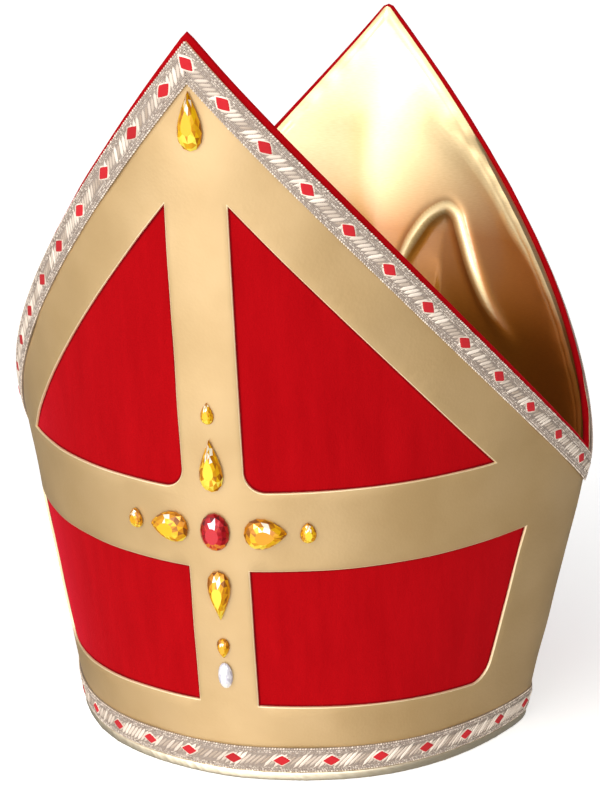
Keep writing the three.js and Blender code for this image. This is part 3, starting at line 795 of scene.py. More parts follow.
@dataclass
class LeatheretteOverlay:
    """Gold leatherette glued on the velvet, with four windows that leave a border and a cross."""

    shape: PanelShape
    side: Side
    trim_bottom: float = 4.8
    edge_inset: float = 2.6
    bar_half_width: float = 12.8
    upper_window_bottom: float = 133.5
    upper_window_rise: float = 12.6
    lower_window_top: float = 98.8
    lower_window_rise: float = 10.8
    lower_window_bottom: float = 35.9
    lower_window_drop: float = 3.1
    edge_border: float = 33.7
    seam_border: float = 39.2
    inner_corner_radius: float = 9.0
    outer_corner_radius: float = 10.0
    top: float = 1.1
    bottom: float = 0.1
    bevel: float = 0.35
    bevel_out: float = 0.7
    bevel_down: float = 0.3
    loop_step: float = 2.2
    grid_step: float = 4.2
    corner_steps: int = 12
    curve_steps: int = 600
    outline_half: int = 120
    groove: float = 0.75
    groove_tuck: float = 0.3
    groove_rise: tuple[float, float] = (0.09, 0.07)
    wave: float = 0.14
    wave_length: float = 42.0
    wave_limit: float = 0.25

    def corner(self, centre: tuple[float, float], radius: float, start: float, end: float) -> np.ndarray:
        """Points of a round corner, from one direction to another."""
        turn = np.linspace(start, end, self.corner_steps)
        return np.stack([centre[0] + radius * np.cos(turn), centre[1] + radius * np.sin(turn)], -1)

    def seam_line(self, x: np.ndarray, border: float) -> np.ndarray:
        """Height of a line at a distance from the side seam."""
        angle = self.shape.seam_angle
        return (x * math.cos(angle) + border) / math.sin(angle) - self.shape.centre_reach

    @staticmethod
    def crossing(gap: np.ndarray, x: np.ndarray) -> float:
        """The x where a rising gap between two curves is zero."""
        return float(np.interp(0, gap, x))

    def upper_window(self) -> np.ndarray:
        """Outline of the upper right window, anticlockwise, with a round corner beside the bar."""
        shape = self.shape
        _, normal = shape.edge_directions(self.side)
        x = np.linspace(self.bar_half_width, shape.seam_top[0], self.curve_steps)
        sill = shape.curve_height(x, self.upper_window_bottom, self.upper_window_rise)
        slope = shape.height(self.side) + (self.edge_border - normal[0] * x) / normal[1]
        corner_x = self.crossing(sill - slope, x)
        radius = self.inner_corner_radius
        bar = self.bar_half_width
        start_y = float(np.interp(bar + radius, x, sill))
        arc = self.corner((bar + radius, start_y + radius), radius, math.pi, 1.5 * math.pi)
        run = x[(x > bar + radius) & (x < corner_x)]
        foot, tip, top = on_curve(run, x, sill), on_curve(corner_x, x, sill), on_curve(bar, x, slope)
        base, side, inner = (spaced(np.concatenate(parts), self.loop_step)[:-1]
                             for parts in ((arc[-1:], foot, tip), (tip, top), (top, arc[:1])))
        return np.concatenate([arc[:-1], base, side, inner])

    def lower_window(self) -> np.ndarray:
        """Outline of the lower right window, anticlockwise, with a round corner beside the seam."""
        shape = self.shape
        x = np.linspace(self.bar_half_width, shape.seam_top[0], self.curve_steps)
        sill = shape.curve_height(x, self.lower_window_bottom, -self.lower_window_drop)
        head = shape.curve_height(x, self.lower_window_top, self.lower_window_rise)
        radius = self.outer_corner_radius
        arc_x = self.crossing(self.seam_line(x, self.seam_border + radius) - sill - radius, x)
        arc_y = float(np.interp(arc_x, x, sill)) + radius
        corner_x = self.crossing(self.seam_line(x, self.seam_border) - head, x)
        bar = self.bar_half_width
        arc = self.corner((arc_x, arc_y), radius, -math.pi / 2, -shape.seam_angle)
        foot = on_curve(x[(x > bar) & (x < arc_x)], x, sill)
        roof = on_curve(x[(x > bar) & (x < corner_x)][::-1], x, head)
        start, outer, inner = on_curve(bar, x, sill), on_curve(corner_x, x, head), on_curve(bar, x, head)
        base, rise, top, side = (spaced(np.concatenate(parts), self.loop_step)[:-1] for parts in (
            (start, foot, arc[:1]), (arc[-1:], outer), (outer, roof, inner), (inner, start)))
        return np.concatenate([base, arc[:-1], rise, top, side])

    def outline(self) -> np.ndarray:
        """Outline of the whole overlay, anticlockwise."""
        shape = self.shape
        half = self.outline_half
        angle = np.linspace(-shape.seam_angle, shape.seam_angle, 2 * half + 1)
        low = np.stack(shape.flat(angle, shape.rim_reach(angle) + self.trim_bottom), -1)
        high = np.stack(shape.flat(angle, shape.edge_reach(self.side, angle, self.edge_inset)), -1)[::-1]
        lines = (low, np.stack([low[-1], high[0]]), high[:half + 1], high[half:],
                 np.stack([high[-1], low[0]]))
        return np.concatenate([spaced(line, self.loop_step)[:-1] for line in lines])

    def loops(self) -> list[np.ndarray]:
        """The outline and the four windows, each with the leatherette on its left."""
        found = [self.outline()]
        for window in (self.upper_window(), self.lower_window()):
            for hand in Hand:
                loop = window * np.array([hand.value, 1])
                found.append(loop[::-1] if signed_area(loop) > 0 else loop)
        return found

    def lift(self, places: np.ndarray, offset: float | np.ndarray) -> np.ndarray:
        """Points at an offset from the velvet, over places of the flat pattern."""
        angle, reach = self.shape.polar(places[:, 0], places[:, 1])
        return self.shape.skin(self.side, angle, reach, offset)

    def waved(self, places: np.ndarray, offset: float) -> np.ndarray:
        """Points of the leatherette at an offset, with its faint waves."""
        wave = self.wave * ripple(places[:, 0], places[:, 1], self.wave_length, seed=5)
        return self.lift(places, offset + np.clip(wave, -self.wave_limit, self.wave_limit))

    def fill(self, loops: list[np.ndarray], inner_loops: list[np.ndarray]) -> tuple[np.ndarray, np.ndarray]:
        """Fills the leatherette between its outline and the windows.

        Args:
            loops: The outline and the windows.
            inner_loops: The same, moved inwards by the bevel.

        Returns:
            Places of the flat pattern, with the inner loops first, and the triangles between them.
        """
        low, high = loops[0].min(axis=0), loops[0].max(axis=0)
        grid = np.stack(np.meshgrid(np.arange(low[0], high[0], self.grid_step),
                                    np.arange(low[1], high[1], self.grid_step)), -1).reshape(-1, 2)
        keep = inside(grid, parallel_loop(loops[0], self.grid_step / 2))
        for loop in loops[1:]:
            keep &= ~inside(grid, parallel_loop(loop, self.grid_step / 2))
        places = np.concatenate([*inner_loops, grid[keep]])
        edges, start = [], 0
        for loop in inner_loops:
            count = len(loop)
            edges += [(start + i, start + (i + 1) % count) for i in range(count)]
            start += count
        flat, _, triangles, *_ = delaunay_2d_cdt([Vector(p) for p in places], edges, [], 0, 1e-6)
        flat = np.array([tuple(p) for p in flat])
        triangles = np.array([tuple(t) for t in triangles])
        middle = flat[triangles].mean(axis=1)
        solid = inside(middle, inner_loops[0])
        for loop in inner_loops[1:]:
            solid &= ~inside(middle, loop)
        return flat, triangles[solid]

    def build(self) -> Object:
        """Makes the overlay with its cut edges.

        Returns:
            The finished piece.
        """
        loops = self.loops()
        inner_loops = [parallel_loop(loop, self.bevel) for loop in loops]
        flat, triangles = self.fill(loops, inner_loops)
        count = len(flat)
        points = [self.waved(flat, self.top), self.waved(flat, self.bottom)]
        uv = [flat, flat]
        faces = [tuple(t) for t in triangles] + [tuple(t[::-1] + count) for t in triangles]
        finish_of = [0] * len(faces)
        start, base = 0, 2 * count
        for loop, inner in zip(loops, inner_loops):
            size = len(loop)
            middle = inner + (loop - inner) * self.bevel_out
            rings = [(middle, self.top - self.bevel * self.bevel_down),
                     (loop, self.top - self.bevel), (loop, self.bottom)]
            for places_of, offset in rings:
                points.append(self.waved(places_of, offset))
                uv.append(places_of)
            rows = [np.arange(size) + first
                    for first in (start, base, base + size, base + 2 * size, start + count)]
            for upper, lower in zip(rows, rows[1:]):
                for i in range(size):
                    j = (i + 1) % size
                    faces.append((int(upper[i]), int(lower[i]), int(lower[j]), int(upper[j])))
                    finish_of.append(1)
            start += size
            base += 3 * size
        made = new_piece(f"{self.side.label}_leatherette", np.concatenate(points), faces,
                         [LEATHERETTE, CUT_EDGE], np.concatenate(uv), np.array(finish_of), 60)
        return finish_piece(made, "gold_leatherette", f"{self.side.label}_overlay")

    def build_grooves(self) -> Object:
        """Darker velvet along the cut edges of the windows, as a narrow strip on the velvet: painted shade
        beside the leatherette's edge.

        Returns:
            The finished piece.
        """
        points, uv, faces, start = [], [], [], 0
        tuck, rise = self.groove_tuck, self.groove_rise
        section = ((tuck, rise[0]), (-self.groove, rise[1]), (-self.groove, -tuck), (tuck, -tuck))
        for loop in self.loops()[1:]:
            size = len(loop)
            for distance, offset in section:
                uv.append(parallel_loop(loop, distance))
                points.append(self.lift(uv[-1], offset))
            for corner in range(len(section)):
                here, there = start + corner * size, start + (corner + 1) % len(section) * size
                faces += [(here + i, there + i, there + (i + 1) % size, here + (i + 1) % size)
                          for i in range(size)]
            start += len(section) * size
        made = new_piece(f"{self.side.label}_crushed_pile", np.concatenate(points), faces,
                         [EDGE_SHADE_VELVET], np.concatenate(uv))
        return finish_piece(made, "velvet")


@dataclass
class SideSeam:
    """Turned-in satin where the panels are sewn together at one side.

    It is a hair thicker than the gap between them, so that no light passes.
    """

    shape: PanelShape
    hand: Hand
    bottom: float = 4.5
    below_top: float = 1.0
    thickness: float = 0.34
    recess: float = 0.4
    depth: float = 3.2
    steps: int = 40

    def build(self) -> Object:
        """Makes the seam as a closed strip that fills the gap.

        Returns:
            The finished piece.
        """
        shape = self.shape
        rim = float(shape.rim_reaches[-1])
        reach = np.linspace(rim + self.bottom, rim + shape.seam_height - self.below_top, self.steps + 1)
        face = shape.face(Side.FRONT, np.full_like(reach, shape.seam_angle), reach)
        half = self.thickness / 2
        corners = ((self.recess, -half), (self.recess, half), (self.recess + self.depth, half),
                   (self.recess + self.depth, -half))
        rings = [np.stack([(face[:, 0] - deep) * self.hand.value, np.full_like(reach, y), face[:, 2]], -1)
                 for deep, y in corners]
        made = new_sweep(f"seam_{self.hand.label}", np.stack(rings, axis=1),
                         np.stack([face[:, [0, 2]]] * len(corners), axis=1), SATIN)
        return finish_piece(made, "gold_satin")


@dataclass(frozen=True)
class SatinFold:
    """A soft ridge through places of the flat pattern that fades at its ends. Below it the satin sinks."""

    places: tuple[tuple[float, float], ...]
    height: float
    above: float
    below: float
    fade: float
    sink: float = 0.0
    sink_width: float = 30.0

    def line(self, steps: int = 12) -> np.ndarray:
        """A smooth curve through the places."""
        given = np.array(self.places, dtype=float)
        ends = 2 * given[0] - given[1], 2 * given[-1] - given[-2]
        padded = np.concatenate([ends[0][None], given, ends[1][None]])
        t = np.linspace(0, 1, steps, endpoint=False)[:, None]
        parts = [0.5 * (2 * b + (c - a) * t + (2 * a - 5 * b + 4 * c - d) * t ** 2
                        + (3 * b - a - 3 * c + d) * t ** 3)
                 for a, b, c, d in zip(padded, padded[1:], padded[2:], padded[3:])]
        return np.concatenate(parts + [given[-1:]])

    def height_at(self, x: np.ndarray, y: np.ndarray) -> np.ndarray:
        """Height of the ridge at places of the flat pattern, steeper on one side than on the other."""
        line = self.line()
        gap = np.stack([x, y], -1)[..., None, :] - line
        distance = np.linalg.norm(gap, axis=-1)
        nearest = np.argmin(distance, axis=-1)
        away = np.take_along_axis(distance, nearest[..., None], -1)[..., 0]
        along = np.gradient(line, axis=0)[nearest]
        offset = np.take_along_axis(gap, nearest[..., None, None], -2)[..., 0, :]
        above = along[..., 0] * offset[..., 1] - along[..., 1] * offset[..., 0] > 0
        share = nearest / (len(line) - 1)
        ends = np.clip(np.minimum(share, 1 - share) / self.fade, 0, 1)
        ends = ends * ends * (3 - 2 * ends)
        ridge = self.height * np.exp(-((away / np.where(above, self.above, self.below)) ** 2))
        drop = self.sink * np.where(above, 0, 1 - np.exp(-((away / self.sink_width) ** 2)))
        return ends * (ridge - drop)


@dataclass
class SatinLining:
    """Gold satin inside a panel, rolled over at its edge and sewn down just inside it."""

    shape: PanelShape
    side: Side
    trim_bottom: float = 4.8
    inset: float = 1.6
    back_offset: float = -2.7
    thickness: float = 0.8
    roll: float = 2.8
    roll_width: float = 5.5
    seam_at: float = 5.0
    # Fold height at which the painted crest highlight is full.
    crest_height: float = 1.5
    pucker: float = 0.12
    pucker_length: float = 13.0
    pucker_reach: float = 4.0
    stitch_depth: float = 0.2
    stitch_width: float = 0.7
    sway: float = 0.25
    sway_length: float = 60.0
    deepest: float = -0.5
    left_start: float = 400.0
    half_columns: int = 120
    rows: int = 190
    row_crowding: float = 0.85
    back_rows: int = 24
    folds: tuple[SatinFold, ...] = (
        SatinFold(((4, 150), (10, 176), (18, 193), (24, 203), (32, 212), (43, 217), (51, 213), (56, 203),
                   (64, 186), (76, 169), (92, 155), (108, 145)),
                  2.3, 3.4, 4.8, fade=0.3, sink=3.0, sink_width=22),
        SatinFold(((26, 265), (35, 259), (52, 249), (69, 237), (84, 223), (96, 210), (119, 190), (140, 168),
                   (157, 148), (168, 132)),
                  2.5, 4.5, 10, fade=0.35),
    )

    def fold_height(self, x: np.ndarray, y: np.ndarray) -> np.ndarray:
        """Height of all folds at places of the flat pattern."""
        return np.add.reduce([fold.height_at(x, y) for fold in self.folds])

    def build(self) -> Object:
        """Returns:
            The finished piece.
        """
        shape = self.shape
        angles = shape.columns(self.half_columns)
        share = np.linspace(0, 1, self.rows + 1) ** self.row_crowding
        angle = np.repeat(angles[:, None], len(share), axis=1)
        low = shape.rim_reach(angle) + self.trim_bottom
        top = shape.edge_reach(self.side, angle, self.inset)
        reach = low + (top - low) * share[None, :]
        x, y = shape.flat(angle, reach)
        along, normal = shape.edge_directions(self.side)
        from_edge = normal[0] * np.abs(x) + normal[1] * (y - shape.height(self.side))
        # Each half has its own puckers, because the left one starts further along the random waves.
        run = along[0] * np.abs(x) + along[1] * (y - shape.height(self.side)) + self.left_start * (x < 0)
        pleat = ripple(run, np.zeros_like(run), self.pucker_length, seed=3)
        near = np.exp(-((from_edge - self.seam_at) / self.pucker_reach) ** 2)
        roll = self.roll * (1 - np.exp(-np.maximum(from_edge - self.inset, 0) / self.roll_width))
        stitch = -self.stitch_depth * np.exp(-((from_edge - self.seam_at) / self.stitch_width) ** 2)
        sway = self.sway * ripple(x, y, self.sway_length, seed=8)
        folds = self.fold_height(x, y) * (self.side is Side.BACK)
        relief = np.maximum(roll + stitch + self.pucker * near * pleat + sway + folds, self.deepest)
        face = shape.skin(self.side, angle, reach, self.back_offset - self.thickness - relief)
        hidden = np.linspace(self.rows, 0, self.back_rows + 1).round().astype(int)
        back = shape.skin(self.side, angle[:, hidden], reach[:, hidden], self.back_offset)
        points = np.concatenate([face, back], axis=1)
        flat = np.stack([x, y], -1)
        uv = np.concatenate([flat, flat[:, hidden]], axis=1)
        made = new_sweep(f"{self.side.label}_satin", points, uv, SATIN)
        # Painted highlight on the folds' crests, which the satin's material reads.
        crest = np.clip(np.concatenate([folds, folds[:, hidden]], axis=1) / self.crest_height, 0, 1)
        layer = made.data.attributes.new("crest", "FLOAT", "POINT")
        layer.data.foreach_set("value", crest.astype(np.float32).ravel())
        finish_piece(made, "gold_satin", f"{self.side.label}_lining")
        length = (shape.height(self.side) - self.trim_bottom) * MM
        return made


def open_tree(name: str, sizes: tuple[str, ...]) -> tuple[NodeTree, dict]:
    """Starts a Geometry Nodes tree with its named inputs and its output.

    Args:
        name: The tree's name.
        sizes: The names of its number inputs.

    Returns:
        The tree, and the socket of each named input.
    """
    tree = bpy.data.node_groups.new(name, "GeometryNodeTree")
    kinds = {"Geometry": "NodeSocketGeometry", **dict.fromkeys(sizes, "NodeSocketFloat"),
             "Seed": "NodeSocketInt", "Finish": "NodeSocketMaterial"}
    for label, kind in kinds.items():
        tree.interface.new_socket(name=label, in_out="INPUT", socket_type=kind)
    tree.interface.new_socket(name="Geometry", in_out="OUTPUT", socket_type="NodeSocketGeometry")
    sockets = add_node(tree, "NodeGroupInput").outputs
    return tree, {label: sockets[label] for label in kinds}


def stand_on_path(tree: NodeTree, given: dict, path: NodeSocket,
                  run: NodeSocket) -> tuple[NodeSocket, NodeSocket]:
    """Lifts a path's points off the surface, and turns what stands on them out and along.

    Args:
        tree: The node tree.
        given: Its input sockets, with Lift among them.
        path: The points, whose attribute "out" is their outward direction.
        run: The direction along the path.

    Returns:
        The lifted points, and the rotation at each.
    """
    out = add_node(tree, "GeometryNodeInputNamedAttribute", {"data_type": "FLOAT_VECTOR"}, {"Name": "out"})
    raised = add_node(tree, "ShaderNodeVectorMath", {"operation": "SCALE"}, {
        0: out.outputs["Attribute"], "Scale": given["Lift"]})
    lifted = add_node(tree, "GeometryNodeSetPosition", inputs={
        "Geometry": path, "Offset": raised.outputs["Vector"]})
    upright = add_node(tree, "FunctionNodeAlignRotationToVector", {"axis": "Z"}, {
        "Vector": out.outputs["Attribute"]})
    along = add_node(tree, "FunctionNodeAlignRotationToVector", {"axis": "X", "pivot_axis": "Z"}, {
        "Rotation": upright.outputs["Rotation"], "Vector": run})
    return lifted.outputs["Geometry"], along.outputs["Rotation"]


def close_tree(tree: NodeTree, given: dict, copies: Node) -> None:
    """Gives each copy a random tone, makes all of them real, and sets their material.

    Args:
        tree: The node tree.
        given: Its input sockets, with Seed and Finish among them.
        copies: The node that makes the copies.
    """
    tone = add_node(tree, "FunctionNodeRandomValue", {"data_type": "FLOAT"}, {
        2: 0.0, 3: 1.0, "Seed": given["Seed"]})
    toned = add_node(tree, "GeometryNodeStoreNamedAttribute", {"data_type": "FLOAT", "domain": "INSTANCE"}, {
        "Geometry": copies.outputs["Instances"], "Name": "tone", "Value": tone.outputs[1]})
    real = add_node(tree, "GeometryNodeRealizeInstances", inputs={"Geometry": toned.outputs["Geometry"]})
    dressed = add_node(tree, "GeometryNodeSetMaterial", inputs={
        "Geometry": real.outputs["Geometry"], "Material": given["Finish"]})
    add_node(tree, "NodeGroupOutput", inputs={"Geometry": dressed.outputs["Geometry"]})


def path_piece(name: str, points: np.ndarray, edges: list[tuple[int, int]],
               directions: dict[str, np.ndarray]) -> Object:
    """Makes the path that a Geometry Nodes tree lays its copies on.

    Args:
        name: The piece's name.
        points: Points in millimetres, one a row.
        edges: The pairs of point numbers that it joins.
        directions: Named directions, one a point.

    Returns:
        The object, with each direction as an attribute.
    """
    mesh = bpy.data.meshes.new(name)
    mesh.from_pydata((points * MM).tolist(), edges, [])
    for label, values in directions.items():
        attribute = mesh.attributes.new(label, "FLOAT_VECTOR", "POINT")
        attribute.data.foreach_set("vector", values.astype(np.float32).ravel())
    return in_scene(name, mesh)


@dataclass
class StrandRow:
    """A row of strands on a path, fewer and thicker than the real yarn so that they show."""

    name: str
    finish: Finish
    pitch: float
    length: float
    width: float
    height: float
    lean: float
    lift: float
    seed: int
    rings: int = 3
    segments: int = 6
    sway: float = 0.08
    least_size: float = 0.82
    most_size: float = 1.16

    def tree(self) -> NodeTree:
        """Builds the tree: a path becomes evenly spaced strands that lean in the surface.

        Returns:
            The node tree, with its sizes as inputs.
        """
        tree, given = open_tree(self.name, ("Pitch", "Length", "Width", "Height", "Lean", "Lift"))
        curve = add_node(tree, "GeometryNodeMeshToCurve", inputs={"Mesh": given["Geometry"]})
        run = add_node(tree, "GeometryNodeResampleCurve", {"mode": "LENGTH"}, {
            "Curve": curve.outputs["Curve"], "Length": given["Pitch"]})
        tangent = add_node(tree, "GeometryNodeInputTangent")
        lifted, along = stand_on_path(tree, given, run.outputs["Curve"], tangent.outputs["Tangent"])
        sway = add_node(tree, "FunctionNodeRandomValue", {"data_type": "FLOAT"}, {
            2: -self.sway, 3: self.sway, "Seed": given["Seed"]})
        angle = add_node(tree, "ShaderNodeMath", {"operation": "ADD"}, {
            0: given["Lean"], 1: sway.outputs[1]})
        twist = add_node(tree, "ShaderNodeCombineXYZ", inputs={"Z": angle.outputs["Value"]})
        euler = add_node(tree, "FunctionNodeEulerToRotation", inputs={"Euler": twist.outputs["Vector"]})
        leaning = add_node(tree, "FunctionNodeRotateRotation", {"rotation_space": "LOCAL"}, {
            0: along, 1: euler.outputs["Rotation"]})
        size = add_node(tree, "ShaderNodeCombineXYZ", inputs={
            "X": given["Length"], "Y": given["Width"], "Z": given["Height"]})
        vary = add_node(tree, "FunctionNodeRandomValue", {"data_type": "FLOAT"}, {
            2: self.least_size, 3: self.most_size, "Seed": given["Seed"]})
        scale = add_node(tree, "ShaderNodeVectorMath", {"operation": "SCALE"}, {
            0: size.outputs["Vector"], "Scale": vary.outputs[1]})
        strand = add_node(tree, "GeometryNodeMeshUVSphere", inputs={
            "Segments": self.segments, "Rings": self.rings, "Radius": 0.5})
        close_tree(tree, given, add_node(tree, "GeometryNodeInstanceOnPoints", inputs={
            "Points": lifted, "Instance": strand.outputs["Mesh"],
            "Rotation": leaning.outputs["Rotation"], "Scale": scale.outputs["Vector"]}))
        return tree

    def lay(self, name: str, path: np.ndarray, out: np.ndarray, closed: bool) -> Object:
        """Repeats the strands along a path.

        Args:
            name: The piece's name.
            path: Points of the path, in millimetres.
            out: Outward direction at each point.
            closed: Whether the path is a loop.

        Returns:
            The piece as a plain mesh.
        """
        count = len(path)
        edges = [(i, (i + 1) % count) for i in range(count if closed else count - 1)]
        made = path_piece(name, path, edges, {"out": out})
        values = {"Pitch": self.pitch * MM, "Length": self.length * MM, "Width": self.width * MM,
                  "Height": self.height * MM, "Lean": self.lean, "Lift": self.lift * MM,
                  "Seed": self.seed, "Finish": self.finish.build()}
        return repeat_with(made, self.tree(), values)


def repeat_with(made: Object, tree: NodeTree, values: dict) -> Object:
    """Runs a Geometry Nodes tree on a piece and keeps its result as a plain mesh.

    Args:
        made: The piece with the tree's input.
        tree: The tree.
        values: A value for each named input.

    Returns:
        The piece, with no modifier left.
    """
    modifier = made.modifiers.new("repeat", "NODES")
    modifier.node_group = tree
    for item in tree.interface.items_tree:
        if item.item_type == "SOCKET" and item.in_out == "INPUT" and item.name in values:
            modifier[item.identifier] = values[item.name]
    made.update_tag()
    bpy.context.view_layer.update()
    depsgraph = bpy.context.evaluated_depsgraph_get()
    mesh = bpy.data.meshes.new_from_object(made.evaluated_get(depsgraph), preserve_all_data_layers=True,
                                           depsgraph=depsgraph)
    made.modifiers.clear()
    old = made.data
    made.data = mesh
    bpy.data.meshes.remove(old)
    mesh.name = made.name
    mesh.polygons.foreach_set("use_smooth", np.full(len(mesh.polygons), True))
    mesh.update()
    return made


@dataclass
class DiamondRow:
    """Woven diamonds, each a raised rhomb of red strands with soft corners on a paler one."""

    along: float = 9.2
    across: float = 6.2
    height: float = 0.5
    ridges: int = 6
    steps: int = 14
    halo: float = 1.16
    halo_height: float = 0.34
    lift: float = 0.05
    soft_corner: float = 0.13
    ridge_depth: float = 0.14
    skirt: float = 0.25

    def rhomb(self, name: str, grow: float, height: float, finish: Finish) -> Object:
        """Makes one rhomb, lying flat round the origin.

        Args:
            name: The object's name.
            grow: Its size against the red diamond's.
            height: Its height in millimetres.
            finish: Its finish.

        Returns:
            The object, used only as a source of copies.
        """
        share = np.linspace(-1, 1, self.steps + 1)
        u, v = np.meshgrid(share, share, indexing="ij")
        soft = 1 - self.soft_corner * (((u + v) / 2) ** 4 + ((u - v) / 2) ** 4)
        x = (u + v) / 2 * self.along * grow / 2 * soft
        y = (u - v) / 2 * self.across * grow / 2 * soft
        edge = np.maximum(np.abs(u), np.abs(v))
        ridged = 1 - self.ridge_depth + self.ridge_depth * np.cos(math.pi * self.ridges * v)
        up = height * (1 - edge ** 6) * ridged - self.skirt * edge ** 6
        points = np.stack([x, y, up], -1).reshape(-1, 3)
        grid = np.arange((self.steps + 1) ** 2).reshape(self.steps + 1, -1)
        corners = grid[:-1, :-1], grid[:-1, 1:], grid[1:, 1:], grid[1:, :-1]
        faces = np.stack(corners, -1).reshape(-1, 4).tolist()
        around = np.concatenate([grid[0, ::-1], grid[1:, 0], grid[-1, 1:], grid[-2:0:-1, -1]])
        faces.append(around[::-1].tolist())
        return new_piece(name, points, faces, [finish], sharp=70)

    def tree(self, source: Object) -> NodeTree:
        """Builds the tree that sets a copy of the source on each point of its input.

        Args:
            source: The rhomb to copy.

        Returns:
            The node tree.
        """
        tree, given = open_tree("diamonds", ("Lift",))
        run = add_node(tree, "GeometryNodeInputNamedAttribute", {"data_type": "FLOAT_VECTOR"}, {
            "Name": "run"})
        lifted, along = stand_on_path(tree, given, given["Geometry"], run.outputs["Attribute"])
        rhomb = add_node(tree, "GeometryNodeObjectInfo", {"transform_space": "ORIGINAL"}, {"Object": source})
        close_tree(tree, given, add_node(tree, "GeometryNodeInstanceOnPoints", inputs={
            "Points": lifted, "Instance": rhomb.outputs["Geometry"], "Rotation": along}))
        return tree

    def lay(self, name: str, places: np.ndarray, out: np.ndarray, run: np.ndarray,
            grow: float, height: float, lift: float, finish: Finish, seed: int) -> Object:
        """Sets the rhombs at their places.

        Args:
            name: The piece's name.
            places: Their centres, in millimetres.
            out: Outward direction at each.
            run: Direction of the braid at each.
            grow: Their size against the red diamond's.
            height: Their height.
            lift: How far over the places they lie.
            finish: Their finish.
            seed: Seed of their tones.

        Returns:
            The piece as a plain mesh.
        """
        source = self.rhomb(f"{name}_source", grow, height, finish)
        made = path_piece(name, places, [], {"out": out, "run": run})
        repeat_with(made, self.tree(source), {"Lift": lift * MM, "Seed": seed, "Finish": finish.build()})
        bpy.data.objects.remove(source)
        return made


class Strip:
    """A stretch of braid: rows across it, each with points, outward directions and its run.

    Its pieces' names start with its name, and its band stands for its CAD node. A closed strip is a loop.
    """

    name: str
    node: str
    width: float
    closed: bool

    def row(self, across: float, lift: float) -> tuple[np.ndarray, np.ndarray]:
        """Points and outward directions of the row at a share across the braid."""
        raise NotImplementedError

    def run_of_row(self, across: float) -> np.ndarray:
        """Distance along the braid of each point of a row."""
        raise NotImplementedError

    def diamonds(self) -> np.ndarray:
        """Distance along the braid of each diamond."""
        raise NotImplementedError


@dataclass
class EdgeStrip(Strip):
    """Braid along one slanting edge, mitred at the tip and cut at the side seam."""

    shape: PanelShape
    side: Side
    hand: Hand
    inset: float = 2.3
    width: float = 10.6
    steps: int = 150
    tip_diamond: float = 9.0
    end_gap: float = 3.0
    most: int = 12
    closed: ClassVar[bool] = False
    # The first diamond's distance from the tip, the pitch after it, and the growth of the pitch.
    spacing: ClassVar[dict[Hand, tuple[float, float, float]]] = {
        Hand.RIGHT: (28.7, 22.0, 0.25), Hand.LEFT: (22.5, 22.6, 0.2)}

    def __post_init__(self) -> None:
        """Names the strip and works out its directions on the flat pattern."""
        self.name = f"{self.side.label}_{self.hand.label}"
        self.node = f"{self.side.label}_braid_{self.hand.label}"
        self.along, self.normal = self.shape.edge_directions(self.side)

    def ends(self, inset: float) -> tuple[float, float]:
        """Distances from the sharp tip at which a row starts and ends."""
        shape = self.shape
        start = (shape.panel_gap / 2 - self.normal[0] * inset) / self.along[0]
        sine, cosine = math.sin(shape.seam_angle), math.cos(shape.seam_angle)
        height = shape.height(self.side) + shape.centre_reach
        top = (height + self.normal[1] * inset) * sine - self.normal[0] * inset * cosine
        return start, top / (self.along[0] * cosine - self.along[1] * sine)

    def places(self, run: np.ndarray, inset: float, lift: float) -> tuple[np.ndarray, np.ndarray]:
        """Points and outward directions at distances along the edge."""
        shape = self.shape
        x = self.along[0] * run + self.normal[0] * inset
        y = shape.height(self.side) + self.along[1] * run + self.normal[1] * inset
        angle, reach = shape.polar(np.maximum(x, 0), y)
        reach = np.minimum(reach, shape.edge_reach(self.side, angle, inset))
        angle = angle * self.hand.value
        return shape.skin(self.side, angle, reach, lift), shape.normal(self.side, angle, reach)

    def run_of_row(self, across: float) -> np.ndarray:
        """Distance along the edge of each point of a row."""
        start, end = self.ends(self.inset + self.width * across)
        return np.linspace(start, end, self.steps + 1)

    def row(self, across: float, lift: float) -> tuple[np.ndarray, np.ndarray]:
        """Points and outward directions of the row at a share across the braid."""
        return self.places(self.run_of_row(across), self.inset + self.width * across, lift)

    def diamonds(self) -> np.ndarray:
        """Distance of each diamond from the tip. The pitch grows a little as the braid was eased."""
        first, pitch, growth = self.spacing[self.hand]
        count = np.arange(self.most)
        run = first + pitch * count + growth * count ** 2
        if self.hand is Hand.RIGHT:
            run = np.concatenate([[self.tip_diamond], run])
        _, end = self.ends(self.inset + self.width / 2)
        return run[run < end - self.end_gap]


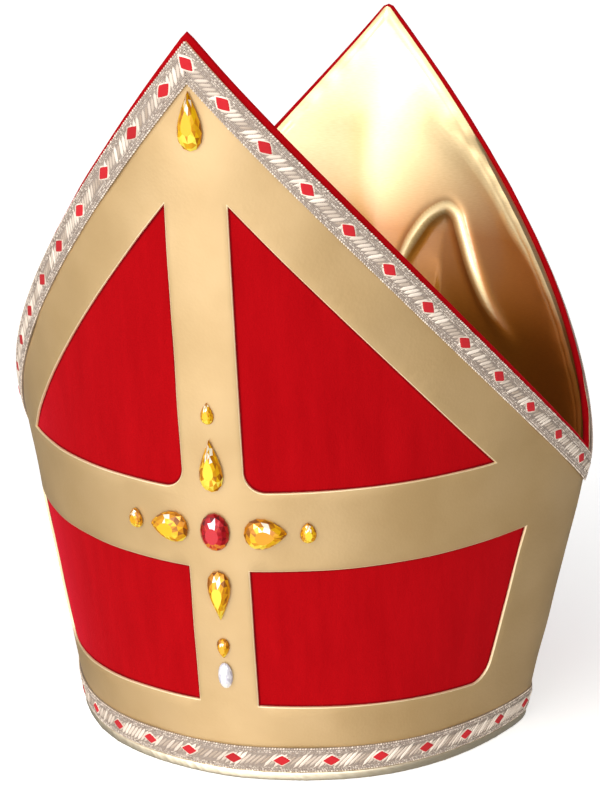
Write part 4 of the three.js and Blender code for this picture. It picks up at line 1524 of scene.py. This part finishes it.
@dataclass
class RimStrip(Strip):
    """Braid once round the mitre above its lower rim."""

    shape: PanelShape
    width: float = 11.8
    bottom: float = 4.8
    half_columns: int = 90
    front_pitch: float = 20.0
    added_pitch: float = 3.0
    added_over: int = 5
    shift: float = 0.9
    join_gap: float = 9.0
    most: int = 16
    name: ClassVar[str] = "base"
    node: ClassVar[str] = "base_braid"
    closed: ClassVar[bool] = True

    def __post_init__(self) -> None:
        """Lists its columns, in order once round."""
        self.parts = self.shape.once_round(self.half_columns)

    def row(self, across: float, lift: float) -> tuple[np.ndarray, np.ndarray]:
        """Points and outward directions of the row at a share down from the upper edge."""
        points, out = [], []
        for side, angles in self.parts:
            reach = self.shape.rim_reach(angles) + self.bottom + self.width * (1 - across)
            normal = self.shape.normal(side, angles, reach)
            points.append(self.shape.face(side, angles, reach) + normal * lift)
            out.append(normal)
        return np.concatenate(points), np.concatenate(out)

    def run_of_row(self, across: float) -> np.ndarray:
        """Distance along the braid from the front's centre line."""
        points, _ = self.row(across, 0.0)
        steps = np.linalg.norm(np.roll(points, -1, axis=0) - points, axis=1)
        run = np.concatenate([[0], np.cumsum(steps)])
        centre = len(self.parts[0][1]) // 2
        return run - run[centre]

    def diamonds(self) -> np.ndarray:
        """Distance of each diamond from the front's centre line, closer together in front."""
        run = self.run_of_row(0.5)
        grown = np.minimum(1, ((np.arange(self.most) + 0.5) / self.added_over) ** 2)
        half = np.concatenate([[0], np.cumsum(self.front_pitch + self.added_pitch * grown)])
        places = np.concatenate([-half[:0:-1], half]) + self.shift
        length = run[-1] - run[0]
        return run[0] + (places[np.abs(places) < length / 2 - self.join_gap] - run[0]) % length


@dataclass
class Galloon:
    """Woven metallic braid: a ground band with corded edges, leaning bright strands and red diamonds."""

    strip: Strip
    floor: float = 1.15
    top: float = 1.95
    crown: float = 0.3
    lean: float = math.radians(46)
    edge_hatch: float = 6.8
    rim_hatch: float = 9.4
    band_margin: float = 0.03
    cross_steps: int = 8

    def rows(self) -> list[tuple[float, StrandRow]]:
        """The rows of strands: the share across the braid, and the strands laid there."""
        seed = len(self.strip.name)
        hatch = self.rim_hatch if self.strip.closed else self.edge_hatch
        rows = [
            (0.035, StrandRow("picots", PICOT_STRAND, 1.15, 1.05, 0.75, 0.5, 0.5, 0.0, seed)),
            (0.125, StrandRow("cord", GREY_STRAND, 1.0, 1.15, 0.7, 0.55, 0.45, 0.05, seed + 1)),
            (0.185, StrandRow("lace", BRIGHT_STRAND, 1.6, 1.5, 0.35, 0.4, 0.0, 0.05, seed + 2)),
            (0.25, StrandRow("cord", GREY_STRAND, 0.95, 1.05, 0.65, 0.5, -0.45, 0.05, seed + 3)),
            (0.5, StrandRow("hatch", BRIGHT_STRAND, 2.1, hatch, 1.5, 0.5, self.lean, 0.0, seed + 4, 5)),
            (0.75, StrandRow("cord", GREY_STRAND, 0.95, 1.05, 0.65, 0.5, 0.45, 0.05, seed + 5)),
            (0.815, StrandRow("lace", BRIGHT_STRAND, 1.6, 1.5, 0.35, 0.4, 0.0, 0.05, seed + 6)),
            (0.875, StrandRow("cord", GREY_STRAND, 1.0, 1.15, 0.7, 0.55, -0.45, 0.05, seed + 7)),
            (0.965, StrandRow("picots", PICOT_STRAND, 1.15, 1.05, 0.75, 0.5, -0.5, 0.0, seed + 8)),
        ]
        return [row for row in rows if not (self.strip.closed and row[0] in (0.25, 0.75))]

    def crown_at(self, across: float) -> float:
        """Offset of the band's upper face at a share across it."""
        return self.top + self.crown * math.sin(math.pi * across)

    def build(self) -> list[Object]:
        """Makes the band, its strands and its diamonds.

        Returns:
            The finished pieces.
        """
        strip = self.strip
        shares = np.linspace(self.band_margin, 1 - self.band_margin, self.cross_steps + 1)
        profile = [(share, self.crown_at(share)) for share in shares]
        profile += [(share, self.floor) for share in shares[::-1]]
        points = np.stack([strip.row(share, offset)[0] for share, offset in profile], axis=1)
        run = np.stack([strip.run_of_row(share)[:len(points)] for share, _ in profile], axis=1)
        across = np.array([share * strip.width for share, _ in profile])
        uv = np.stack([run, np.broadcast_to(across, run.shape)], -1)
        band = new_sweep(f"{strip.name}_band", points, uv, GROUND, strip.closed)
        made = [finish_piece(band, "silver_braid", strip.node)]
        for number, (share, strands) in enumerate(self.rows()):
            path, out = strip.row(share, self.crown_at(share))
            laid = strands.lay(f"{strip.name}_{strands.name}_{number}", path, out, strip.closed)
            made.append(finish_piece(laid, "silver_braid"))
        return made + self.build_diamonds()

    def build_diamonds(self) -> list[Object]:
        """Makes the red diamonds and the pale rhombs under them."""
        strip = self.strip
        path, out = strip.row(0.5, self.crown_at(0.5))
        run = strip.run_of_row(0.5)
        if strip.closed:
            path, out = np.concatenate([path, path[:1]]), np.concatenate([out, out[:1]])
        where = strip.diamonds()
        places = between_rows(where, run, path)
        facing = between_rows(where, run, out)
        ahead = between_rows(where + 1, run, path) - places
        row = DiamondRow()
        seed = 3 + len(strip.name)
        halo = row.lay(f"{strip.name}_diamond_grounds", places, facing, ahead,
                       row.halo, row.halo_height, 0.0, PICOT_STRAND, seed)
        red = row.lay(f"{strip.name}_diamonds", places, facing, ahead,
                      1.0, row.height, row.lift, RED_STRAND, seed)
        return [finish_piece(halo, "silver_braid"), finish_piece(red, "silver_braid")]


@dataclass
class RolledBinding:
    """Satin strip rolled over the lower rim, with a flat sole that the mitre stands on."""

    shape: PanelShape
    height: float = 4.2
    outside: float = 1.3
    inside: float = -4.0
    swell: float = 0.9
    board_bottom: float = 0.8
    channel_inside: float = -2.7
    channel_outside: float = 0.25
    pucker: float = 0.13
    pucker_length: float = 4.6
    slant: float = 0.8
    round_steps: int = 9
    half_columns: int = 150

    def profile(self) -> np.ndarray:
        """The channel's section as offset and height, from the outer top edge round under the sole."""
        turn = np.linspace(math.pi / 2, -math.pi / 2, self.round_steps)
        half = self.height / 2
        outer = [(self.outside + self.swell * math.cos(t), half + half * math.sin(t)) for t in turn]
        inner = [(self.inside - self.swell * math.cos(t), half + half * math.sin(t)) for t in turn[::-1]]
        outer[-1] = (self.outside, 0.0)
        inner[0] = (self.inside, 0.0)
        channel = [(self.channel_inside, self.height), (self.channel_inside, self.board_bottom),
                   (self.channel_outside, self.board_bottom), (self.channel_outside, self.height)]
        return np.array(outer + inner + channel)

    def build(self) -> Object:
        """Makes the binding with its small slanting puckers.

        Returns:
            The finished piece.
        """
        out, up = self.profile().T
        faces, levels = [], []
        for side, part in self.shape.once_round(self.half_columns):
            slope = np.interp(np.abs(part), self.shape.angles, self.shape.lines[:, 2])
            reach = self.shape.rim_reach(part)[:, None] + up / slope[:, None]
            angle = np.broadcast_to(part[:, None], reach.shape)
            level = self.shape.normal(side, angle, reach) * np.array([1, 1, 0])
            levels.append(level / np.linalg.norm(level, axis=-1, keepdims=True))
            faces.append(self.shape.face(side, angle, reach))
        face, level = np.concatenate(faces), np.concatenate(levels)
        steps = np.linalg.norm(np.diff(face[:, 0], axis=0), axis=1)
        run = np.concatenate([[0], np.cumsum(steps)])[:, None]
        rolled = (up > 0) & (up < self.height)
        wave = self.pucker * rolled * ripple(run + up * self.slant, 0.0, self.pucker_length, seed=21)
        points = face + level * (out + np.copysign(wave, out))[..., None]
        uv = np.stack(np.broadcast_arrays(run, up), -1)
        made = new_sweep("rolled_binding", points, uv, BINDING_SATIN, True)
        return finish_piece(made, "binding_satin", "rim_binding")


@dataclass(frozen=True)
class StoneCut:
    """Outline and height of a stone. Taper says how strongly the outline narrows to its point."""

    width: float
    length: float
    depth: float
    taper: float


SLIM_DROP = StoneCut(9.8, 22.2, 3.8, 1.3)
WIDE_DROP = StoneCut(13.4, 17.2, 4.2, 0.7)
SMALL_DROP = StoneCut(5.4, 9.0, 2.4, 0.8)
SIDE_PEAR = StoneCut(6.6, 8.8, 2.4, 0.4)
RUBY_OVAL = StoneCut(12.2, 16.4, 4.6, 0.0)
CLEAR_OVAL = StoneCut(6.2, 12.0, 2.8, 0.0)


@dataclass(frozen=True)
class StonePlace:
    """A stone: its CAD node, cut, the gap before it on its arm, whether it stands upright, and finish."""

    node: str
    cut: StoneCut
    gap: float = 0.0
    upright: bool = False
    finish: Finish = AMBER
    slot: str = "amber_stone"


@dataclass
class Stones:
    """Stones glued on the front: one under the tip and a cross of ten round the middle."""

    # Each ring of a stone's corners: its size, its share of the height, and 1 where it is half a facet on.
    rings: ClassVar[tuple[tuple[float, float, int], ...]] = (
        (1.0, 0.0, 0), (1.0, 0.16, 0), (0.9, 0.46, 1), (0.7, 0.78, 0), (0.44, 1.0, 1))
    shape: PanelShape
    overlay: LeatheretteOverlay
    seat: float = 1.4
    top_drop: float = 33.0
    sides: int = 16
    seed: int = 12

    def arms(self) -> list[tuple[int, list[StonePlace]]]:
        """The arms of the cross: the turn of each, and its stones going outwards."""
        return [
            (0, [StonePlace("stone_drop_up", SLIM_DROP, 9.5),
                 StonePlace("stone_small_up", SMALL_DROP, 6.6)]),
            (180, [StonePlace("stone_drop_down", SLIM_DROP, 9.5),
                   StonePlace("stone_small_down", SMALL_DROP, 8.8),
                   StonePlace("stone_clear", CLEAR_OVAL, 2.4, False, CLEAR, "clear_stone")]),
            (90, [StonePlace("stone_drop_left", WIDE_DROP, 5.5),
                  StonePlace("stone_small_left", SIDE_PEAR, 5.4, True)]),
            (-90, [StonePlace("stone_drop_right", WIDE_DROP, 5.5),
                   StonePlace("stone_small_right", SIDE_PEAR, 5.4, True)]),
        ]

    def facet_tones(self, middle: np.ndarray, cut: StoneCut, turn: int, seed: int) -> np.ndarray:
        """Tone of each facet: random in part, with painted shade at the girdle, painted light below and
        painted glints.

        Args:
            middle: The facets' centres, in millimetres.
            cut: The stone's cut.
            turn: The stone's turn in the panel's plane, in degrees.
            seed: Seed of the chances.

        Returns:
            A tone from 0 to 1 for each facet.
        """
        chance = np.random.default_rng(seed).random((2, len(middle)))
        angle = math.radians(turn)
        up = middle[:, 0] * math.sin(angle) + middle[:, 1] * math.cos(angle)
        side = middle[:, 0] * math.cos(angle) - middle[:, 1] * math.sin(angle)
        up, side = up / np.abs(up).max(), side / np.abs(side).max()
        edge = np.hypot(middle[:, 0] / cut.width, middle[:, 1] / cut.length) * 2
        # Painted shade darkens the girdle and painted light brightens the lower half; the rest of the tone
        # is random.
        tone = 0.5 - 0.3 * edge ** 3 + 0.22 * np.maximum(-up, 0) + 0.55 * (chance[0] - 0.5)
        tone = np.clip(tone, 0.02, 0.78)
        # Painted glints, low down and near the top.
        tone[(up < -0.45) & (chance[1] > 0.45)] = LOW_GLINT
        tone[(up > 0.3) & (up < 0.85) & (np.abs(side) < 0.3) & (chance[1] > 0.5)] = TOP_GLINT
        return tone.astype(np.float32)

    def cut_stone(self, name: str, cut: StoneCut, finish: Finish, turn: int, seed: int) -> Object:
        """Cuts one stone with its point along +Y and its flat back on z = 0.

        Args:
            name: The piece's name.
            cut: The stone's cut.
            finish: Its finish.
            turn: Its turn in the panel's plane, in degrees.
            seed: Seed of its facets' tones.

        Returns:
            The piece, still at the origin.
        """
        steps = self.sides * 2
        around = np.arange(steps) / steps * 2 * math.pi
        narrow = np.abs(np.sin(around / 2)) ** cut.taper
        x, y = np.sin(around) * narrow, np.cos(around)
        x = x / x.max() * cut.width / 2
        y = y * cut.length / 2
        points = []
        for scale, up, start in self.rings:
            points.append(np.stack([x[start::2] * scale, y[start::2] * scale,
                                    np.full(self.sides, cut.depth * up)], -1))
        faces = []
        for level, (low, high) in enumerate(zip(self.rings, self.rings[1:])):
            a, b = level * self.sides, (level + 1) * self.sides
            for i in range(self.sides):
                j = (i + 1) % self.sides
                if low[2] == high[2]:
                    faces.append((a + i, a + j, b + j, b + i))
                elif low[2] == 0:
                    faces += [(a + i, a + j, b + i), (a + j, b + j, b + i)]
                else:
                    faces += [(a + i, b + j, b + i), (a + i, a + j, b + j)]
        faces.append(tuple(range(self.sides))[::-1])
        faces.append(tuple(range((len(self.rings) - 1) * self.sides, len(self.rings) * self.sides)))
        made = new_piece(name, np.concatenate(points), faces, [finish], sharp=None)
        tone = made.data.attributes.new("tone", "FLOAT", "FACE")
        middle = np.array([tuple(face.center) for face in made.data.polygons]) / MM
        tone.data.foreach_set("value", self.facet_tones(middle, cut, turn, seed))
        return made

    def set_stone(self, place: StonePlace, x: float, y: float, turn: int, seed: int) -> None:
        """Cuts a stone and glues it at a place of the flat pattern.

        Args:
            place: The stone.
            x: Its place across the pattern.
            y: Its place up the pattern.
            turn: Its turn in the panel's plane, in degrees.
            seed: Seed of its facets' tones.
        """
        shape = self.shape
        xs, ys = np.array([x, x]), np.array([y, y + 1])
        angle, reach = shape.polar(xs, ys)
        seat = shape.skin(Side.FRONT, angle, reach, self.seat)[0]
        normal = shape.normal(Side.FRONT, angle, reach)[0]
        face = shape.face(Side.FRONT, angle, reach)
        up = face[1] - face[0]
        up = up - normal * float(up @ normal)
        up /= np.linalg.norm(up)
        right = np.cross(up, normal)
        basis = Matrix(np.stack([right, up, normal], axis=1).tolist()).to_4x4()
        made = self.cut_stone(place.node.replace("stone_", "cut_"), place.cut, place.finish, turn, seed)
        placing = Matrix.Translation(Vector(seat * MM)) @ basis @ Matrix.Rotation(math.radians(turn), 4, "Z")
        made.data.transform(placing)
        made.data.update()
        finish_piece(made, place.slot, place.node)

    def build(self) -> None:
        """Cuts and sets every stone."""
        shape, overlay = self.shape, self.overlay
        height = (overlay.upper_window_bottom + overlay.lower_window_top) / 2
        rise = (overlay.upper_window_rise + overlay.lower_window_rise) / 2
        self.set_stone(StonePlace("stone_top_drop", SLIM_DROP),
                       0.0, shape.front_height - self.top_drop, 0, self.seed)
        self.set_stone(StonePlace("stone_centre", RUBY_OVAL, finish=RUBY, slot="ruby_stone"),
                       0.0, height, 0, self.seed + 1)
        seed = self.seed + 2
        for turn, stones in self.arms():
            along_x = round(-math.sin(math.radians(turn)))
            along_y = round(math.cos(math.radians(turn)))
            away = (RUBY_OVAL.length if along_x == 0 else RUBY_OVAL.width) / 2
            for stone in stones:
                half = (stone.cut.width if stone.upright else stone.cut.length) / 2
                away += stone.gap + half
                x = float(along_x * away)
                y = float(shape.curve_height(np.array([x]), height, rise)[0]) + along_y * away
                self.set_stone(stone, x, y, 0 if stone.upright else turn, seed)
                away += half
                seed += 1


@dataclass(frozen=True)
class Lobe:
    """A soft patch of the world's light: where it is, how bright, and how narrow."""

    direction: tuple[float, float, float]
    strength: float
    sharpness: float


@dataclass(frozen=True)
class Softbox:
    """A round lamp that faces the middle of the mitre, in metres and watts."""

    name: str
    place: tuple[float, float, float]
    size: float
    power: float


@dataclass
class Studio:
    """Pale floor, soft light from all round with a bright front, and the photograph's camera.

    Its lengths are in metres, but the sensor and the floor's inset from the rim are in millimetres.
    """

    azimuth: float = math.radians(16.508)
    elevation: float = math.radians(12.953)
    distance: float = 0.8516
    aim_right: float = -0.001224
    aim_height: float = 0.14046
    roll: float = math.radians(0.313)
    focal_pixels: float = 1881.95
    frame_height: int = 800
    sensor: float = 36.0
    floor_gap: float = 0.0001
    floor_reach: float = 40.0
    floor_glow: float = 0.5
    floor_inset: float = 1.0
    rim_columns: int = 24
    ambient: float = 0.14
    lobes: tuple[Lobe, ...] = (
        Lobe((-0.25, -0.92, 0.3), 0.7, 5.0), Lobe((-0.25, -0.92, 0.3), 3.2, 12.0),
        Lobe((0.6, -0.78, 0.3), 2.6, 20.0), Lobe((-0.92, -0.3, 0.3), 0.7, 8.0),
        Lobe((-0.2, -0.85, 0.45), 0.65, 2.0), Lobe((-0.2, -0.8, -0.54), 1.5, 4.0))
    softboxes: tuple[Softbox, ...] = (
        Softbox("key", (-0.85, -1.55, 1.1), 0.35, 4.5), Softbox("fill", (0.55, -1.5, 1.3), 0.3, 1.6))

    def build_camera(self) -> None:
        """Makes the camera at the photograph's viewing angle."""
        back = Vector((math.sin(self.azimuth) * math.cos(self.elevation),
                       -math.cos(self.azimuth) * math.cos(self.elevation), math.sin(self.elevation)))
        right = Vector((math.cos(self.azimuth), math.sin(self.azimuth), 0.0))
        up = back.cross(right)
        turned_right = right * math.cos(self.roll) + up * math.sin(self.roll)
        turned_up = up * math.cos(self.roll) - right * math.sin(self.roll)
        place = right * self.aim_right + Vector((0, 0, self.aim_height)) + back * self.distance
        data = bpy.data.cameras.new("camera")
        data.sensor_width = self.sensor
        data.lens = self.focal_pixels / self.frame_height * self.sensor
        data.clip_end = 100.0
        camera = in_scene("camera", data)
        turn = Matrix((turned_right, turned_up, back)).transposed()
        camera.matrix_world = Matrix.Translation(place) @ turn.to_4x4()
        bpy.context.scene.camera = camera

    def build_floor(self, shape: PanelShape) -> None:
        """Makes the plain pale floor, with the shaded part inside the hollow that the satin reflects.

        Args:
            shape: The panels' form, whose rim bounds the hollow.
        """
        angles = shape.columns(self.rim_columns)
        rim = [shape.skin(side, part, shape.rim_reach(part), -self.floor_inset)
               for side, part in ((Side.FRONT, angles), (Side.BACK, angles[::-1]))]
        inside_corners = [(x * MM, y * MM, -self.floor_gap) for x, y, _ in np.concatenate(rim)]
        corners = [(x * self.floor_reach, y * self.floor_reach, -2 * self.floor_gap)
                   for x, y in ((-1, -1), (1, -1), (1, 1), (-1, 1))]
        for name, places, glow in (("floor", corners, self.floor_glow),
                                   ("floor_in_hollow", inside_corners, 0.0)):
            material = bpy.data.materials.new(name)
            material.use_nodes = True
            shader = material.node_tree.nodes["Principled BSDF"]
            shader.inputs["Base Color"].default_value = linear("#F6F5F4")
            shader.inputs["Roughness"].default_value = 0.9
            shader.inputs["Emission Color"].default_value = WHITE
            shader.inputs["Emission Strength"].default_value = glow
            mesh = bpy.data.meshes.new(name)
            mesh.from_pydata(places, [], [tuple(range(len(places)))])
            mesh.materials.append(material)
            floor = in_scene(name, mesh)
            # Of the floor, only the part in the hollow shows in reflections.
            floor.visible_glossy = glow == 0

    def build_world(self) -> None:
        """Makes the soft light: a dim room with a broad bright front and a lit ceiling."""
        world = bpy.data.worlds.new("studio")
        world.use_nodes = True
        tree = world.node_tree
        background = tree.nodes["Background"]
        place = add_node(tree, "ShaderNodeTexCoord")
        total = None
        for lobe in self.lobes:
            unit = Vector(lobe.direction).normalized()
            dot = add_node(tree, "ShaderNodeVectorMath", {"operation": "DOT_PRODUCT"}, {
                0: place.outputs["Generated"], 1: tuple(unit)})
            positive = add_node(tree, "ShaderNodeMath", {"operation": "MAXIMUM"}, {
                0: dot.outputs["Value"], 1: 0.0})
            power = add_node(tree, "ShaderNodeMath", {"operation": "POWER"}, {
                0: positive.outputs["Value"], 1: lobe.sharpness})
            scaled = add_node(tree, "ShaderNodeMath", {"operation": "MULTIPLY"}, {
                0: power.outputs["Value"], 1: lobe.strength})
            if total is None:
                total = scaled.outputs["Value"]
            else:
                total = add_node(tree, "ShaderNodeMath", {"operation": "ADD"}, {
                    0: total, 1: scaled.outputs["Value"]}).outputs["Value"]
        base = add_node(tree, "ShaderNodeMath", {"operation": "ADD"}, {0: total, 1: self.ambient})
        seen = add_node(tree, "ShaderNodeLightPath")
        level = add_node(tree, "ShaderNodeMix", {"data_type": "FLOAT"}, {
            0: seen.outputs["Is Camera Ray"], 2: base.outputs["Value"], 3: 1.0})
        background.inputs["Color"].default_value = WHITE
        tree.links.new(level.outputs[0], background.inputs["Strength"])
        bpy.context.scene.world = world

    def build_lamp(self, softbox: Softbox) -> None:
        """Makes one softbox."""
        data = bpy.data.lights.new(softbox.name, "AREA")
        data.shape = "DISK"
        data.size = softbox.size
        data.energy = softbox.power
        place = Vector(softbox.place)
        turn = (Vector((0, 0, self.aim_height)) - place).to_track_quat("-Z", "Y")
        in_scene(softbox.name, data).matrix_world = Matrix.Translation(place) @ turn.to_matrix().to_4x4()

    def build(self, shape: PanelShape) -> None:
        """Makes the camera, floor and lights, and shows colours as they are."""
        self.build_camera()
        self.build_floor(shape)
        self.build_world()
        for softbox in self.softboxes:
            self.build_lamp(softbox)
        bpy.context.scene.view_settings.view_transform = "Standard"


def main() -> None:
    """Builds the mitre and its studio."""
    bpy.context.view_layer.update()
    shape = PanelShape()
    Studio().build(shape)
    overlays = {}
    for side in Side:
        VelvetPanel(shape, side).build()
        overlays[side] = LeatheretteOverlay(shape, side)
        overlays[side].build()
        overlays[side].build_grooves()
        SatinLining(shape, side).build()
        for hand in Hand:
            Galloon(EdgeStrip(shape, side, hand)).build()
    for hand in Hand:
        SideSeam(shape, hand).build()
    Galloon(RimStrip(shape)).build()
    RolledBinding(shape).build()
    Stones(shape, overlays[Side.FRONT]).build()
    bpy.context.view_layer.update()


if __name__ == "__main__":
    main()
